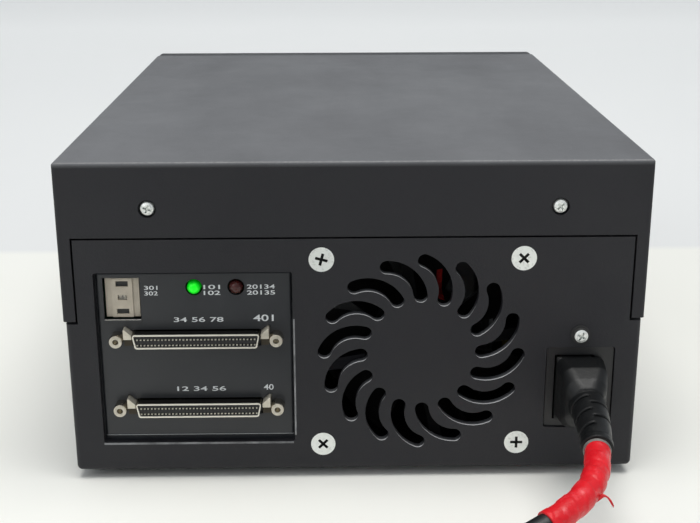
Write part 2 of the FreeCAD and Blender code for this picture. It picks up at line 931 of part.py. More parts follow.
def upper_shell():
    bottom = split_top + seam_gap
    block = box(-upper_half, upper_half, rear, shell_front, bottom, top)
    rounded = edges_on(
        block,
        lambda c, e: (abs(c.z - top) < 1e-6 and c.y < shell_front - 1)
        or (abs(c.y - rear) < 1e-6 and abs(abs(c.x) - upper_half) < 1e-6),
    )
    block = block.makeFillet(edge_radius, rounded)
    inner = upper_half - wall
    block = block.cut(box(-inner, inner, inner_rear, shell_front, bottom, top - wall))
    opening = tongue_half + tongue_gap
    block = block.cut(box(-opening, opening, rear, inner_rear, bottom, tongue_top + tongue_gap))
    pieces = [block]
    for x in (-inner / 2, 0.0, inner / 2):
        pieces.append(box(x - roof_rib_width / 2, x + roof_rib_width / 2, inner_rear + roof_rib_inset,
                          shell_front - roof_rib_inset, top - wall - roof_rib_height, top - wall))
    shell = join(pieces)
    cutters = []
    for sx in (-1, 1):
        x = sx * cover_screw_x
        cutters.append(rod_y(cover_sink_radius, x, cover_screw_z, rear, rear + cover_sink))
        cutters.append(rod_y(cover_shank + screw_gap, x, cover_screw_z, rear, inner_rear))
    return shell.cut(cutters)


def cover_screws():
    length = wall - cover_sink + cover_tab_thickness + cover_boss_length - screw_spare
    return group([
        pan_screw_y(sx * cover_screw_x, cover_screw_z, rear + cover_sink, cover_head_radius,
                    cover_head_height, cover_shank, length, turn)
        for sx, turn in ((-1, 20), (1, 50))
    ])


def fan_screws():
    head = fan_screw_head / 2
    length = wall + fan_depth / 2
    profile = [
        (0, 0),
        (head, 0),
        (fan_screw_radius, fan_screw_sink),
        (fan_screw_radius, length),
        (0, length + fan_screw_point),
    ]
    screws = []
    for (x, z), turn in zip(fan_holes, (45, 15, 0, 45)):
        screw = revolved(profile, Vector(x, rear, z), Y_AXIS)
        screws.append(screw.cut(cross_recess(x, z, rear, fan_screw_recess, head, turn)))
    return group(screws)


def earth_screw():
    washer = rod_y(earth_washer_radius, earth_x, earth_z, rear - earth_washer, rear)
    screw = pan_screw_y(earth_x, earth_z, rear - earth_washer, earth_head_radius, earth_head_height,
                        earth_shank, wall + bracket_wall + earth_screw_end, 30)
    return join([screw, washer])


def rubber_feet():
    radius = foot_diameter / 2
    profile = [
        (0, 0),
        (radius - 2 * foot_chamfer, 0),
        (radius - foot_chamfer, foot_chamfer),
        (radius - foot_gap, foot_height),
        (radius - foot_gap, foot_height + foot_recess),
        (0, foot_height + foot_recess),
    ]
    return group([revolved(profile, Vector(x, y, 0), Z_AXIS) for x, y in foot_centres()])


# ================================================================ connector window
def d_outline(z, grow):
    """The outline of a connector shell: wider above, with slanted ends."""
    half = shell_width / 2 + grow
    up = shell_height / 2 + grow
    return [
        (connector_x - half + shell_slant, z - up),
        (connector_x + half - shell_slant, z - up),
        (connector_x + half, z + up),
        (connector_x - half, z + up),
    ]


def ear_outline(z, sx, grow):
    """The pointed ear beside a shell, on the side sx."""
    near = connector_x + sx * (shell_width / 2 + ear_gap - grow)
    far = connector_x + sx * (shell_width / 2 + ear_gap + ear_width + grow)
    return [
        (near, z - ear_low - grow),
        (far, z - ear_low - grow),
        (far, z + ear_peak + grow),
        (far - sx * (ear_nose + grow), z + ear_peak + grow),
        (near, z + ear_root + grow),
    ]


def connector_slot(z):
    """The slot for a shell, with a pointed end for each ear."""
    half = shell_width / 2 + ear_gap
    cutters = [box(connector_x - half, connector_x + half, plate_front, plate_back,
                   z - shell_height / 2 - slot_below, z + shell_height / 2 + slot_above)]
    for sx in (-1, 1):
        cutters.append(prism_y(ear_outline(z, sx, ear_clearance), plate_front, plate_back))
    return join(cutters)


def io_plate():
    x0, x1 = io_left + plate_gap, io_right - plate_gap
    z0, z1 = io_bottom + plate_bottom_gap, io_top - plate_gap
    lip_back = inner_rear + sheet
    raised = box(x0, x1, plate_front, lip_back, z0, z1)
    bends = edges_on(raised, lambda c, e: abs(c.y - plate_front) < 1e-6)
    raised = raised.makeFillet(sheet * 0.95, bends)
    lip = box(io_left - plate_lip, io_right + plate_lip, inner_rear, lip_back,
              io_bottom - plate_lip, io_top + plate_lip)
    hollow = box(x0 + sheet, x1 - sheet, plate_back, lip_back, z0 + sheet, z1 - sheet)
    plate = join([raised, lip]).cut(hollow)
    cutters = [connector_slot(z) for z in connector_levels.values()]
    for z in connector_levels.values():
        for sx in (-1, 1):
            cutters.append(rod_y(jack_shank + jack_hole_gap, connector_x + sx * jack_spacing / 2, z,
                                 plate_front, plate_back))
    for offset in (activity_led_offset, fault_led_offset):
        cutters.append(rod_y(led_radius + led_hole_gap, io_left + offset, indicator_z,
                             plate_front, plate_back))
    cutters.append(box(switch_x - switch_width / 2 - switch_window_gap,
                       switch_x + switch_width / 2 + switch_window_gap, plate_front, plate_back,
                       switch_z - switch_height / 2 - switch_window_gap,
                       switch_z + switch_height / 2 + switch_window_gap))
    lip_top = switch_z - switch_height / 2 - switch_window_gap
    lip_half = switch_width / 2 + switch_window_gap
    switch_ledge = box(switch_x - lip_half, switch_x + lip_half, plate_front - switch_lip_reach, plate_back,
                       lip_top - switch_lip, lip_top)
    return join([plate.cut(cutters), switch_ledge])


def io_board():
    board = box(io_left - board_margin, io_right + board_margin, board_front, board_back,
                io_bottom - board_margin, io_top + board_margin)
    header_z = (io_bottom + io_top) / 2
    half_width, half_height = header_width / 2, header_height / 2
    header = box(connector_x - half_width, connector_x + half_width, board_back,
                 board_back + header_depth, header_z - half_height, header_z + half_height)
    slot = box(connector_x - half_width + header_wall, connector_x + half_width - header_wall,
               board_back + header_floor, board_back + header_depth,
               header_z - half_height + header_wall, header_z + half_height - header_wall)
    chips = []
    for sz in (-1, 1):
        z = header_z + sz * chip_row_offset
        for column in (-1, 0, 1):
            x = connector_x + column * chip_pitch
            chips.append(box(x - chip_width / 2, x + chip_width / 2, board_back,
                             board_back + chip_thickness, z - chip_height / 2, z + chip_height / 2))
    return join([board, header.cut(slot)] + chips)


def connector_shell(z):
    start, end = plate_front - shell_reach, plate_back + shell_root
    outer = prism_y(d_outline(z, 0), start, end, shell_corner)
    inner = prism_y(d_outline(z, -shell_sheet), start, end, shell_corner - shell_sheet)
    return outer.cut(inner)


def row_levels(z):
    return [z - row_shift + row * row_spacing / 2 for row in (-1, 1)]


def connector_insulator(z):
    """The black block, whose nose fills the shell and has a groove for each row of contacts."""
    nose_front = plate_front - shell_reach + nose_setback
    block_front = plate_back + shell_root
    nose = prism_y(d_outline(z, -shell_sheet - insulator_gap), nose_front, block_front,
                   shell_corner - shell_sheet)
    rise = shell_height / 2 + block_margin
    block = box(connector_x - shell_width / 2, connector_x + shell_width / 2, block_front, board_front,
                z - rise, z + rise)
    half = (contacts_per_row - 1) * contact_pitch / 2 + contact_width / 2 + contact_end_gap
    grooves = []
    for level in row_levels(z):
        grooves.append(box(connector_x - half, connector_x + half, nose_front, nose_front + groove_depth,
                           level - contact_height / 2, level + contact_height))
    return join([nose, block]).cut(grooves)


def connector_contacts(z):
    nose_front = plate_front - shell_reach + nose_setback
    contacts = []
    for level in row_levels(z):
        for i in range(contacts_per_row):
            x = connector_x + (i - (contacts_per_row - 1) / 2) * contact_pitch
            contacts.append(box(x - contact_width / 2, x + contact_width / 2,
                                nose_front + contact_setback, nose_front + groove_depth,
                                level - contact_height / 2, level + contact_height / 2))
    return group(contacts)


def jack_places():
    return [
        (connector_x + sx * jack_spacing / 2, z, sx)
        for z in connector_levels.values()
        for sx in (-1, 1)
    ]


def jack_screws():
    start = plate_front - shell_reach
    face_radius = jack_flats / 2 - jack_face_inset
    posts = []
    for x, z, _ in jack_places():
        head = hexagon_y(x, z, jack_flats, start, plate_front)
        chamfer = Part.makeCone(face_radius, jack_flats / 2 + jack_rounding, jack_chamfer,
                                Vector(x, start, z), Y_AXIS)
        rest = rod_y(jack_flats / 2 + jack_rounding, x, z, start + jack_chamfer, plate_front)
        head = head.common(join([chamfer, rest]))
        shank = rod_y(jack_shank, x, z, plate_front, board_front - jack_shank_gap)
        bore = rod_y(jack_bore, x, z, start, plate_front - jack_floor)
        posts.append(join([head, shank]).cut(bore))
    return group(posts)


def latch_brackets():
    """Each is an angle behind the plate, with an ear that reaches out beside the shell."""
    brackets = []
    for x, z, sx in jack_places():
        near = connector_x + sx * (shell_width / 2 + ear_gap)
        far = near + sx * ear_width
        out = x + sx * bracket_margin
        ear = prism_y(ear_outline(z, sx, 0), plate_front - ear_reach, plate_back)
        step = box(min(near, far), max(near, far), plate_front - ear_reach, plate_front - ear_low_reach,
                   z - ear_low, z + ear_step)
        low, high = min(near, out), max(near, out)
        bottom = z - bracket_half
        foot = box(low, high, plate_back, plate_back + bracket_sheet, bottom, z + bracket_half)
        leg = box(low, high, plate_back, board_front, bottom, bottom + bracket_sheet)
        bracket = join([ear.cut(step), foot, leg])
        brackets.append(bracket.cut(rod_y(jack_shank + screw_gap, x, z, plate_front, board_front)))
    return group(brackets)


def led(offset):
    """A lamp with a domed end, its rim, and two legs to the board."""
    x = io_left + offset
    tip = plate_front - led_reach
    end = led_length + led_rim_length
    profile = [(0, 0)]
    for i in range(1, 7):
        angle = math.radians(15 * i)
        profile.append((led_radius * math.sin(angle), led_radius * (1 - math.cos(angle))))
    profile += [
        (led_radius, led_length),
        (led_radius + led_rim, led_length),
        (led_radius + led_rim, end),
        (0, end),
    ]
    body = revolved(profile, Vector(x, tip, indicator_z), Y_AXIS)
    legs = []
    for sx in (-1, 1):
        leg_x = x + sx * led_leg_pitch / 2
        legs.append(box(leg_x - led_leg / 2, leg_x + led_leg / 2, tip + end, board_front,
                        indicator_z - led_leg / 2, indicator_z + led_leg / 2))
    return join([body] + legs)


# ================================================================ identity switch
column_front = switch_front - switch_column_rise
wheel_y = column_front + switch_face + wheel_gap + wheel_radius


def id_switch_body():
    low, high = switch_z - switch_height / 2, switch_z + switch_height / 2
    body = box(switch_x - switch_width / 2, switch_x + switch_width / 2, switch_front, board_front, low, high)
    column = box(switch_x - switch_column / 2, switch_x + switch_column / 2, column_front, switch_front,
                 low, high)
    half = wheel_width / 2 + wheel_gap
    reach = wheel_radius + wheel_gap
    pin_end = half + wheel_pin_length
    inside = column_front + switch_face
    cutters = [
        box(switch_x - half, switch_x + half, inside, board_front - switch_floor,
            switch_z - reach, switch_z + reach),
        box(switch_x - digit_window_width / 2, switch_x + digit_window_width / 2, column_front, inside,
            switch_z - digit_window_height / 2, switch_z + digit_window_height / 2),
        rod_x(wheel_pin_radius + wheel_pin_gap, wheel_y, switch_z, switch_x - pin_end, switch_x + pin_end),
    ]
    for sz in (-1, 1):
        z = switch_z + sz * key_spacing / 2
        cutters.append(box(switch_x - key_width / 2 - key_gap, switch_x + key_width / 2 + key_gap,
                           column_front, column_front + key_well,
                           z - key_height / 2 - key_gap, z + key_height / 2 + key_gap))
    return join([body, column]).cut(cutters)


def id_wheel():
    """The drum that carries the digits, with the notches that the keys turn it by."""
    half = wheel_width / 2
    pin_end = half + wheel_pin_length
    drum = rod_x(wheel_radius, wheel_y, switch_z, switch_x - half, switch_x + half)
    pins = rod_x(wheel_pin_radius, wheel_y, switch_z, switch_x - pin_end, switch_x + pin_end)
    notches = []
    for i in range(wheel_teeth):
        notch = rod_x(wheel_notch_radius, wheel_y, switch_z + wheel_radius,
                      switch_x + half - wheel_notch_length, switch_x + half)
        notch.rotate(Vector(switch_x, wheel_y, switch_z), X_AXIS, 360.0 / wheel_teeth * (i + 0.5))
        notches.append(notch)
    return join([drum, pins]).cut(notches)


def id_key(sz):
    z = switch_z + sz * key_spacing / 2
    start = column_front + key_recess
    key = box(switch_x - key_width / 2, switch_x + key_width / 2, start, start + key_length,
              z - key_height / 2, z + key_height / 2)
    dish = rod_x(key_dish_radius, start - key_dish_radius + key_dish, z,
                 switch_x - key_width / 2, switch_x + key_width / 2)
    return key.cut(dish)


# ================================================================ fan
cup_rear = inner_rear + fan_cup_gap
cup_front = cup_rear + cup_thickness
rotor_start = inner_rear + rotor_rear_gap
rotor_end = fan_back - rotor_front_gap


def fan_frame():
    """The square housing, with the cup on four struts that carries the bearing tube."""
    flanges = [
        round_box_y(fan_x, fan_z, fan_size, fan_size, y, y + fan_flange, fan_frame_corner)
        for y in (inner_rear, fan_back - fan_flange)
    ]
    duct = rod_y(fan_size / 2 - insulator_gap, fan_x, fan_z, inner_rear, fan_back)
    frame = join([duct] + flanges).cut(rod_y(fan_bore, fan_x, fan_z, inner_rear, fan_back))
    parts = [frame, rod_y(fan_hub_radius + cup_margin, fan_x, fan_z, cup_rear, cup_front)]
    for i in range(4):
        strut = box(fan_x, fan_x + fan_bore + fan_bore_inset / 3, cup_rear, cup_front,
                    fan_z - strut_width / 2, fan_z + strut_width / 2)
        strut.rotate(Vector(fan_x, 0, fan_z), Y_AXIS, -(strut_phase + 90 * i))
        parts.append(strut)
    tube_end = rotor_end - fan_hub_wall - stator_air_gap
    parts.append(rod_y(fan_tube_radius, fan_x, fan_z, cup_front, tube_end))
    cutters = [rod_y(fan_shaft_radius + running_gap, fan_x, fan_z, cup_front - bearing_pocket, tube_end)]
    for x, z in fan_holes:
        cutters.append(rod_y(fan_screw_radius + screw_gap, x, z, inner_rear, fan_back))
    return join(parts).cut(cutters)


def fan_stator():
    """Four wound poles round the bearing tube, on a small board."""
    start = cup_front + stator_lift
    end = start + stator_height
    inside = fan_hub_radius - fan_hub_wall
    rim = inside - stator_air_gap
    core_radius = fan_tube_radius + stator_core_wall
    board = rod_y(inside - stator_board_gap, fan_x, fan_z, cup_front, cup_front + stator_board)
    stem = rod_y(fan_tube_radius + stator_core_wall / 2, fan_x, fan_z, cup_front + stator_board, start)
    core = rod_y(core_radius, fan_x, fan_z, start, end)
    shoe_start, shoe_end = start + shoe_inset, end - shoe_inset
    shoes = rod_y(rim, fan_x, fan_z, shoe_start, shoe_end)
    shoes = shoes.cut(rod_y(rim - stator_shoe, fan_x, fan_z, shoe_start, shoe_end))
    parts = [board, stem, core]
    for i in range(4):
        pole = box(fan_x, fan_x + rim - stator_shoe / 2, shoe_start, shoe_end,
                   fan_z - pole_width / 2, fan_z + pole_width / 2)
        coil = box(fan_x + fan_tube_radius, fan_x + rim - stator_shoe - coil_gap, start + coil_gap,
                   end - coil_gap, fan_z - coil_width / 2, fan_z + coil_width / 2)
        slit = box(fan_x + core_radius, fan_x + inside, start, end,
                   fan_z - shoe_slit / 2, fan_z + shoe_slit / 2)
        for solid, turn in ((pole, 0), (coil, 0), (slit, 45)):
            solid.rotate(Vector(fan_x, 0, fan_z), Y_AXIS, 90 * i + turn)
        parts += [pole, coil]
        shoes = shoes.cut(slit)
    return join(parts + [shoes]).cut(rod_y(fan_tube_radius, fan_x, fan_z, cup_front, end))


def blade_section(radius, chord, pitch, camber):
    """A thin cambered section that faces outwards at the radius."""
    along = Vector(math.cos(math.radians(pitch)), math.sin(math.radians(pitch)), 0)
    across = Vector(-along.y, along.x, 0)
    centre = Vector(fan_x, (rotor_start + rotor_end) / 2, fan_z + radius)
    half, thin, thick = chord / 2, blade_edge / 2, blade_thickness / 2

    def at(u, v):
        return centre + along * u + across * v

    return Part.Wire([
        Part.Arc(at(-half, thin), at(0, camber + thick), at(half, thin)).toShape(),
        Part.LineSegment(at(half, thin), at(half, -thin)).toShape(),
        Part.Arc(at(half, -thin), at(0, camber - thick), at(-half, -thin)).toShape(),
        Part.LineSegment(at(-half, -thin), at(-half, thin)).toShape(),
    ])


def fan_rotor():
    """The hub with its shaft, and blades that twist from the hub to the tip."""
    inside = fan_hub_radius - fan_hub_wall
    tip = fan_bore - fan_tip_gap
    hub = rod_y(fan_hub_radius, fan_x, fan_z, rotor_start, rotor_end)
    hub = hub.makeFillet(hub_radius, edges_on(hub, lambda c, e: abs(c.y - rotor_end) < 1e-6))
    hub = hub.cut(rod_y(inside, fan_x, fan_z, rotor_start, rotor_end - fan_hub_wall))
    shaft = rod_y(fan_shaft_radius, fan_x, fan_z, cup_front - bearing_pocket / 2, rotor_end - fan_hub_wall)
    radii = (fan_hub_radius - fan_hub_wall / 2, (fan_hub_radius + tip) / 2, tip + fan_tip_gap)
    sections = zip(radii, blade_chords, blade_pitches, blade_cambers)
    sweep = Part.makeLoft([blade_section(*section) for section in sections], True, False)
    sweep = sweep.common(rod_y(tip, fan_x, fan_z, rotor_start + blade_end_gap, rotor_end - blade_end_gap))
    sweep = sweep.cut(rod_y(inside + fan_hub_wall / 4, fan_x, fan_z, rotor_start, rotor_end))
    blades = []
    for i in range(fan_blades):
        blade = sweep.copy()
        blade.rotate(Vector(fan_x, 0, fan_z), Y_AXIS, 360.0 / fan_blades * i + blade_phase)
        blades.append(blade)
    return join([hub, shaft] + blades)


# ================================================================ inlet, cord plug and supply
inlet_front = rear + inlet_recess


def inlet_body():
    flange_half_x = inlet_width / 2 + inlet_flange_lap
    flange_half_z = inlet_height / 2 + inlet_flange_lap
    shroud_half_x = socket_width / 2 + socket_wall
    shroud_half_z = socket_height / 2 + socket_wall
    parts = [
        round_box_y(inlet_x, inlet_z, inlet_width, inlet_height, inlet_front, inner_rear, inlet_corner),
        box(inlet_x - flange_half_x, inlet_x + flange_half_x, inner_rear, inner_rear + inlet_flange,
            inlet_z - flange_half_z, inlet_z + flange_half_z),
        box(inlet_x - shroud_half_x, inlet_x + shroud_half_x, inner_rear, rear + inlet_depth,
            inlet_z - shroud_half_z, inlet_z + shroud_half_z),
    ]
    cavity = prism_y(socket_outline(0), inlet_front, inlet_front + socket_depth)
    return join(parts).cut([cavity] + [pin(x, z, 0.0) for x, z in pin_places()])


def socket_outline(shrink):
    """The socket's outline, with the two bevels on the earth side."""
    x0 = inlet_x - socket_width / 2 + shrink
    x1 = inlet_x + socket_width / 2 - shrink
    z0 = inlet_z - socket_height / 2 + shrink
    z1 = inlet_z + socket_height / 2 - shrink
    bevel = socket_bevel
    return [(x0, z0), (x1 - bevel, z0), (x1, z0 + bevel), (x1, z1 - bevel), (x1 - bevel, z1), (x0, z1)]


def pin_places():
    return [
        (inlet_x - pin_offset, inlet_z - pin_spacing / 2),
        (inlet_x - pin_offset, inlet_z + pin_spacing / 2),
        (inlet_x + pin_offset, inlet_z),
    ]


def pin(x, z, grow):
    return box(x - pin_long / 2 - grow, x + pin_long / 2 + grow, inlet_front + pin_setback - grow,
               rear + inlet_depth + tab_length, z - pin_short / 2 - grow, z + pin_short / 2 + grow)


def inlet_blades():
    return group([pin(x, z, 0.0) for x, z in pin_places()])


def circle_wire(centre, direction, radius):
    return Part.Wire(Part.Circle(centre, direction, radius).toShape())


def cord_plug():
    """The moulded plug: a nose in the socket, a block that narrows, and a ribbed boot."""
    nose = prism_y(socket_outline(plug_gap), rear - plug_stand, inlet_front + socket_depth - plug_gap)
    shoulder = Vector(inlet_x - pin_gap, rear - shoulder_reach, inlet_z)
    outlines = [
        (inlet_x, rear - plug_stand, plug_width, plug_height),
        (inlet_x, rear - shoulder_start, plug_width - plug_taper, plug_height - plug_taper),
        (shoulder.x, shoulder.y + shoulder_dome, shoulder_width, shoulder_height),
        (shoulder.x, shoulder.y, shoulder_width - shoulder_dome, shoulder_height - shoulder_dome * 1.5),
    ]
    block = Part.makeLoft([
        outline_y(rectangle(x, inlet_z, width, height), y, radius)
        for (x, y, width, height), radius in zip(outlines, plug_corners)
    ], True, True)
    end = cord_points()[0]
    direction = (cord_points()[1] - end).normalize()
    collar_start = end - direction * collar_length
    neck_start = shoulder + Y_AXIS * plug_corners[0]
    bend = Vector(shoulder.x, rear - boot_bend, shoulder.z) + (direction + Y_AXIS) * collar_length
    neck = Part.makeLoft([
        circle_wire(neck_start, Y_AXIS, boot_root_radius),
        circle_wire(bend, direction - Y_AXIS * 3, boot_radius),
        circle_wire(collar_start, direction, boot_end_radius),
    ], True, False)
    collar = rod(collar_radius, collar_start, end)
    notches = []
    for i in range(boot_notches):
        place = neck_start + (collar_start - neck_start) * (notch_start + notch_step * i)
        ring = Part.makeCylinder(collar_radius * 1.5, notch_width, place, Y_AXIS)
        ring = ring.cut(Part.makeCylinder(notch_core, notch_width, place, Y_AXIS))
        side = collar_radius * (1 if i % 2 else -1) * 2
        notches.append(ring.common(box(
            min(place.x, place.x + side), max(place.x, place.x + side), place.y, place.y + notch_width,
            place.z - collar_radius * 2, place.z + collar_radius * 2)))
    plug = join([nose, block, neck, collar]).cut(notches)
    return plug.cut([pin(x, z, pin_gap) for x, z in pin_places()])


def psu_bracket():
    """A folded sheet channel for the supply board, with the earth tab to the rear wall."""
    outer = box(supply_left, supply_right, supply_rear, supply_front, floor_top, supply_top)
    inner = box(supply_left + bracket_wall, supply_right - bracket_wall, supply_rear, supply_front,
                floor_top + bracket_wall, supply_top)
    vents = []
    pitch = (supply_length - 2 * bracket_vent_inset) / bracket_vents
    vent_top = supply_top - bracket_vent_drop
    for i in range(bracket_vents):
        y = supply_rear + bracket_vent_inset + i * pitch
        vents.append(box(supply_left, supply_right, y, y + pitch * bracket_vent_share,
                         vent_top - bracket_vent_height, vent_top))
    vents.append(box(supply_left, supply_left + bracket_wall, supply_rear, supply_rear + lead_notch_length,
                     wire_z - lead_notch_low, wire_z + lead_notch_high))
    channel = outer.cut([inner] + vents)
    half = earth_tab_width / 2
    arm_z = earth_z + earth_arm_rise
    arm_top = arm_z + bracket_wall
    arm_front = supply_rear + earth_arm_lap
    tab_bottom = inlet_z + inlet_height / 2 + inlet_flange_lap + seat_gap
    arm = box(earth_x - half, earth_x + half, inner_rear, arm_front, arm_z, arm_top)
    tab = box(earth_x - half, earth_x + half, inner_rear, inner_rear + bracket_wall, tab_bottom, arm_top)
    joint = box(earth_x - half, supply_right, supply_rear, arm_front, arm_z, arm_top)
    tab = tab.cut(rod_y(earth_shank + screw_gap, earth_x, earth_z, inner_rear, inner_rear + bracket_wall))
    return join([channel, arm, tab, joint])


board_z = floor_top + bracket_wall + supply_board_rise
board_top = board_z + board_thickness
wire_z = board_top + wire_rise
board_left = supply_left + supply_board_side
board_right = supply_right - supply_board_side
board_rear = supply_rear + supply_board_rear
board_end = supply_front - supply_board_front
header_rear = board_rear + supply_header_inset
dc_header_left = supply_left + dc_header_offset
ac_header_left = board_right - supply_header_inset - ac_header_width


def psu_board():
    """The supply's board on four posts, with a header for each group of wires."""
    board = box(board_left, board_right, board_rear, board_end, board_z, board_top)
    posts = [
        rod_z(board_post_radius, x, y, floor_top + bracket_wall, board_z)
        for x in (supply_left + board_post_inset, supply_right - board_post_inset)
        for y in (board_rear + board_post_inset, board_end - board_post_inset)
    ]
    switch_header_front = board_end - supply_header_inset
    headers = [
        (dc_header_left, dc_header_width, header_rear),
        (ac_header_left, ac_header_width, header_rear),
        (ac_header_left, ac_header_width, switch_header_front - supply_header_depth),
    ]
    blocks = [
        box(x, x + width, y, y + supply_header_depth, board_top, board_top + supply_header_height)
        for x, width, y in headers
    ]
    return join([board] + blocks + posts)


def psu_parts():
    """From the rear: the filter, the large capacitor, the transformer, and three capacitors."""
    middle = (supply_left + supply_right) / 2
    filter_rear = header_rear + supply_header_depth + part_gap / 2
    capacitor_y = filter_rear + filter_length + part_gap / 2 + capacitor_radius
    transformer_rear = capacitor_y + capacitor_radius + part_gap
    transformer_front = transformer_rear + transformer_length
    half = transformer_width / 2
    core = box(middle - half, middle + half, transformer_rear, transformer_front, board_top,
               board_top + transformer_height)
    winding = box(middle - half + winding_inset, middle + half - winding_inset,
                  transformer_rear - winding_lap, transformer_front + winding_lap,
                  board_top + winding_inset, board_top + transformer_height - winding_inset)
    small_y = transformer_front + winding_lap + part_gap / 2 + small_capacitor_radius
    next_y = small_y + part_gap + small_capacitor_radius
    small_left = board_left + part_gap / 2 + small_capacitor_radius
    capacitors = [
        rod_z(small_capacitor_radius, x, y, board_top, board_top + small_capacitor_height)
        for x, y in ((small_left, small_y), (middle, small_y), (small_left, next_y))
    ]
    return group([
        join([core, winding]),
        rod_z(capacitor_radius, middle - part_gap / 2, capacitor_y, board_top, board_top + capacitor_height),
        box(board_left + part_gap / 2, board_left + part_gap / 2 + filter_width, filter_rear,
            filter_rear + filter_length, board_top, board_top + filter_height),
        heat_sink(capacitor_y),
    ] + capacitors)


def heat_sink(middle_y):
    x = board_right - sink_web - sink_fin_depth
    y0 = middle_y - sink_length / 2
    pieces = [box(x, x + sink_web, y0, y0 + sink_length, board_top, board_top + sink_height)]
    for i in range(sink_fins):
        y = y0 + i * (sink_length - sink_fin) / (sink_fins - 1)
        pieces.append(box(x + sink_web, board_right, y, y + sink_fin, board_top + sink_fin_rise,
                          board_top + sink_height))
    return join(pieces)


def fan_lead():
    """Two thin wires from the fan's frame to the supply board's header."""
    start = fan_x + fan_size / 2 - 4 * strut_width
    end = dc_header_left + 2 * signal_wire_radius
    wires = []
    for i in range(2):
        z = wire_z + 3.0 + i * 2.6 * signal_wire_radius
        wires.append(lead([
            Vector(start, fan_back, z),
            Vector(start, fan_back + 4.0, z),
            Vector(start + 4.0, fan_back + 9.0, z + 0.1),
            Vector(supply_left + 6.0, header_rear - 7.0, z),
            Vector(end, header_rear - 4.0, z + 0.1),
            Vector(end, header_rear, z + 0.1),
        ], signal_wire_radius)[0])
    return group(wires)


def sleeve(x, z, y0, y1, inner):
    return rod_y(sleeve_radius, x, z, y0, y1).cut(inner)


def ac_leads():
    """From the inlet's tabs to the supply, and from the supply to the switch's terminals."""
    tab_end = rear + inlet_depth + tab_length
    switch_end = front - switch_depth - terminal_length
    switch_header = board_end - supply_header_inset
    leads = []
    for i, (x, z) in enumerate(pin_places()[:2]):
        end_x = ac_header_left + (i + 0.5) * ac_header_width / 2
        end_z = board_top + supply_header_height / 2 + mains_wire_radius * i
        wire = lead([
            Vector(x, tab_end, z),
            Vector(x, tab_end + 3.0, z),
            Vector(x + 2.0, tab_end + 6.0, z + (end_z - z) * 0.3),
            Vector(end_x, header_rear - 5.5, z + (end_z - z) * 0.8),
            Vector(end_x, header_rear - 3.0, end_z),
            Vector(end_x, header_rear, end_z),
        ], mains_wire_radius)[0]
        cover = sleeve(x, z, rear + inlet_depth + seat_gap, tab_end + seat_gap, pin(x, z, screw_gap))
        leads.append(join([cover, wire]))
        z = rocker_z + (i - 0.5) * terminal_pitch
        wire = lead([
            Vector(end_x, switch_header, end_z),
            Vector(end_x, switch_header + 6.0, end_z),
            Vector(end_x - 1.0, switch_header + 16.0, end_z + (z - end_z) * 0.2),
            Vector(rocker_x + 2.0, switch_end - 20.0, end_z + (z - end_z) * 0.75),
            Vector(rocker_x, switch_end - 8.0, z),
            Vector(rocker_x, switch_end, z),
        ], mains_wire_radius)[0]
        cover = sleeve(rocker_x, z, switch_end - seat_gap, front - switch_depth - seat_gap,
                       switch_terminal(z, screw_gap))
        leads.append(join([cover, wire]))
    return group(leads)


# ================================================================ drive
tray_bottom = drive_bottom + tray_rise
slot_bottom = tray_bottom + tray_sheet
slot_top = slot_bottom + slot_height
bay_half = cartridge_width / 2 + cartridge_gap
slot_half = bay_half + throat_margin
tray_half = bay_half + tray_sheet
door_y = front - door_recess - door_thickness / 2
door_pivot_z = slot_top - door_gap - door_barrel
door_bottom = slot_bottom + door_gap
tray_front = drive_front - tray_setback
tray_rear = tray_front - tray_length
loaded_rear = tray_rear - tray_travel
reel_x = drive_right - cast_wall - reel_side_gap - reel_radius
reel_y = loaded_rear - reel_front_gap - reel_radius
clutch_y = tray_front - tray_travel - cartridge_length / 2
head_x = drive_left + cast_wall + head_side_gap + roller_spread / 2
head_y = loaded_rear - head_gap - head_depth / 2
tape_z = drive_bottom + reel_plane
deck_middle = drive_bottom + base_rise + cast_base / 2


def drive_rails():
    """Two folded angles that carry the drive by its sides and stand on bosses in the floor."""
    y0 = drive_rear + rail_setback
    y1 = y0 + rail_length
    foot_z = floor_top + rail_boss
    rails = []
    for sx, face in ((-1, drive_left), (1, drive_right)):
        out = face + sx * rail_sheet
        inside = out - sx * rail_foot
        web = box(min(face, out), max(face, out), y0, y1, foot_z, foot_z + rail_height)
        foot = box(min(inside, out), max(inside, out), y0, y1, foot_z, foot_z + rail_sheet)
        holes = [
            rod_x(rail_screw_shank + 2 * screw_gap, y, deck_middle, min(face, out), max(face, out))
            for y in rail_screw_places()
        ]
        rails.append(join([web, foot]).cut(holes))
    return group(rails)


def rail_screw_places():
    start = drive_rear + rail_setback
    return [start + rail_screw_inset, start + rail_length - rail_screw_inset]


def drive_screws():
    screws = []
    for sx, face in ((-1, drive_left), (1, drive_right)):
        seat = face + sx * rail_sheet
        top_x = seat + sx * rail_screw_head_height
        inner = face - sx * rail_screw_length
        for y in rail_screw_places():
            head = rod_x(rail_screw_head, y, deck_middle, min(seat, top_x), max(seat, top_x))
            shank = rod_x(rail_screw_shank, y, deck_middle, min(seat, inner), max(seat, inner))
            screws.append(join([head, shank]))
    return group(screws)


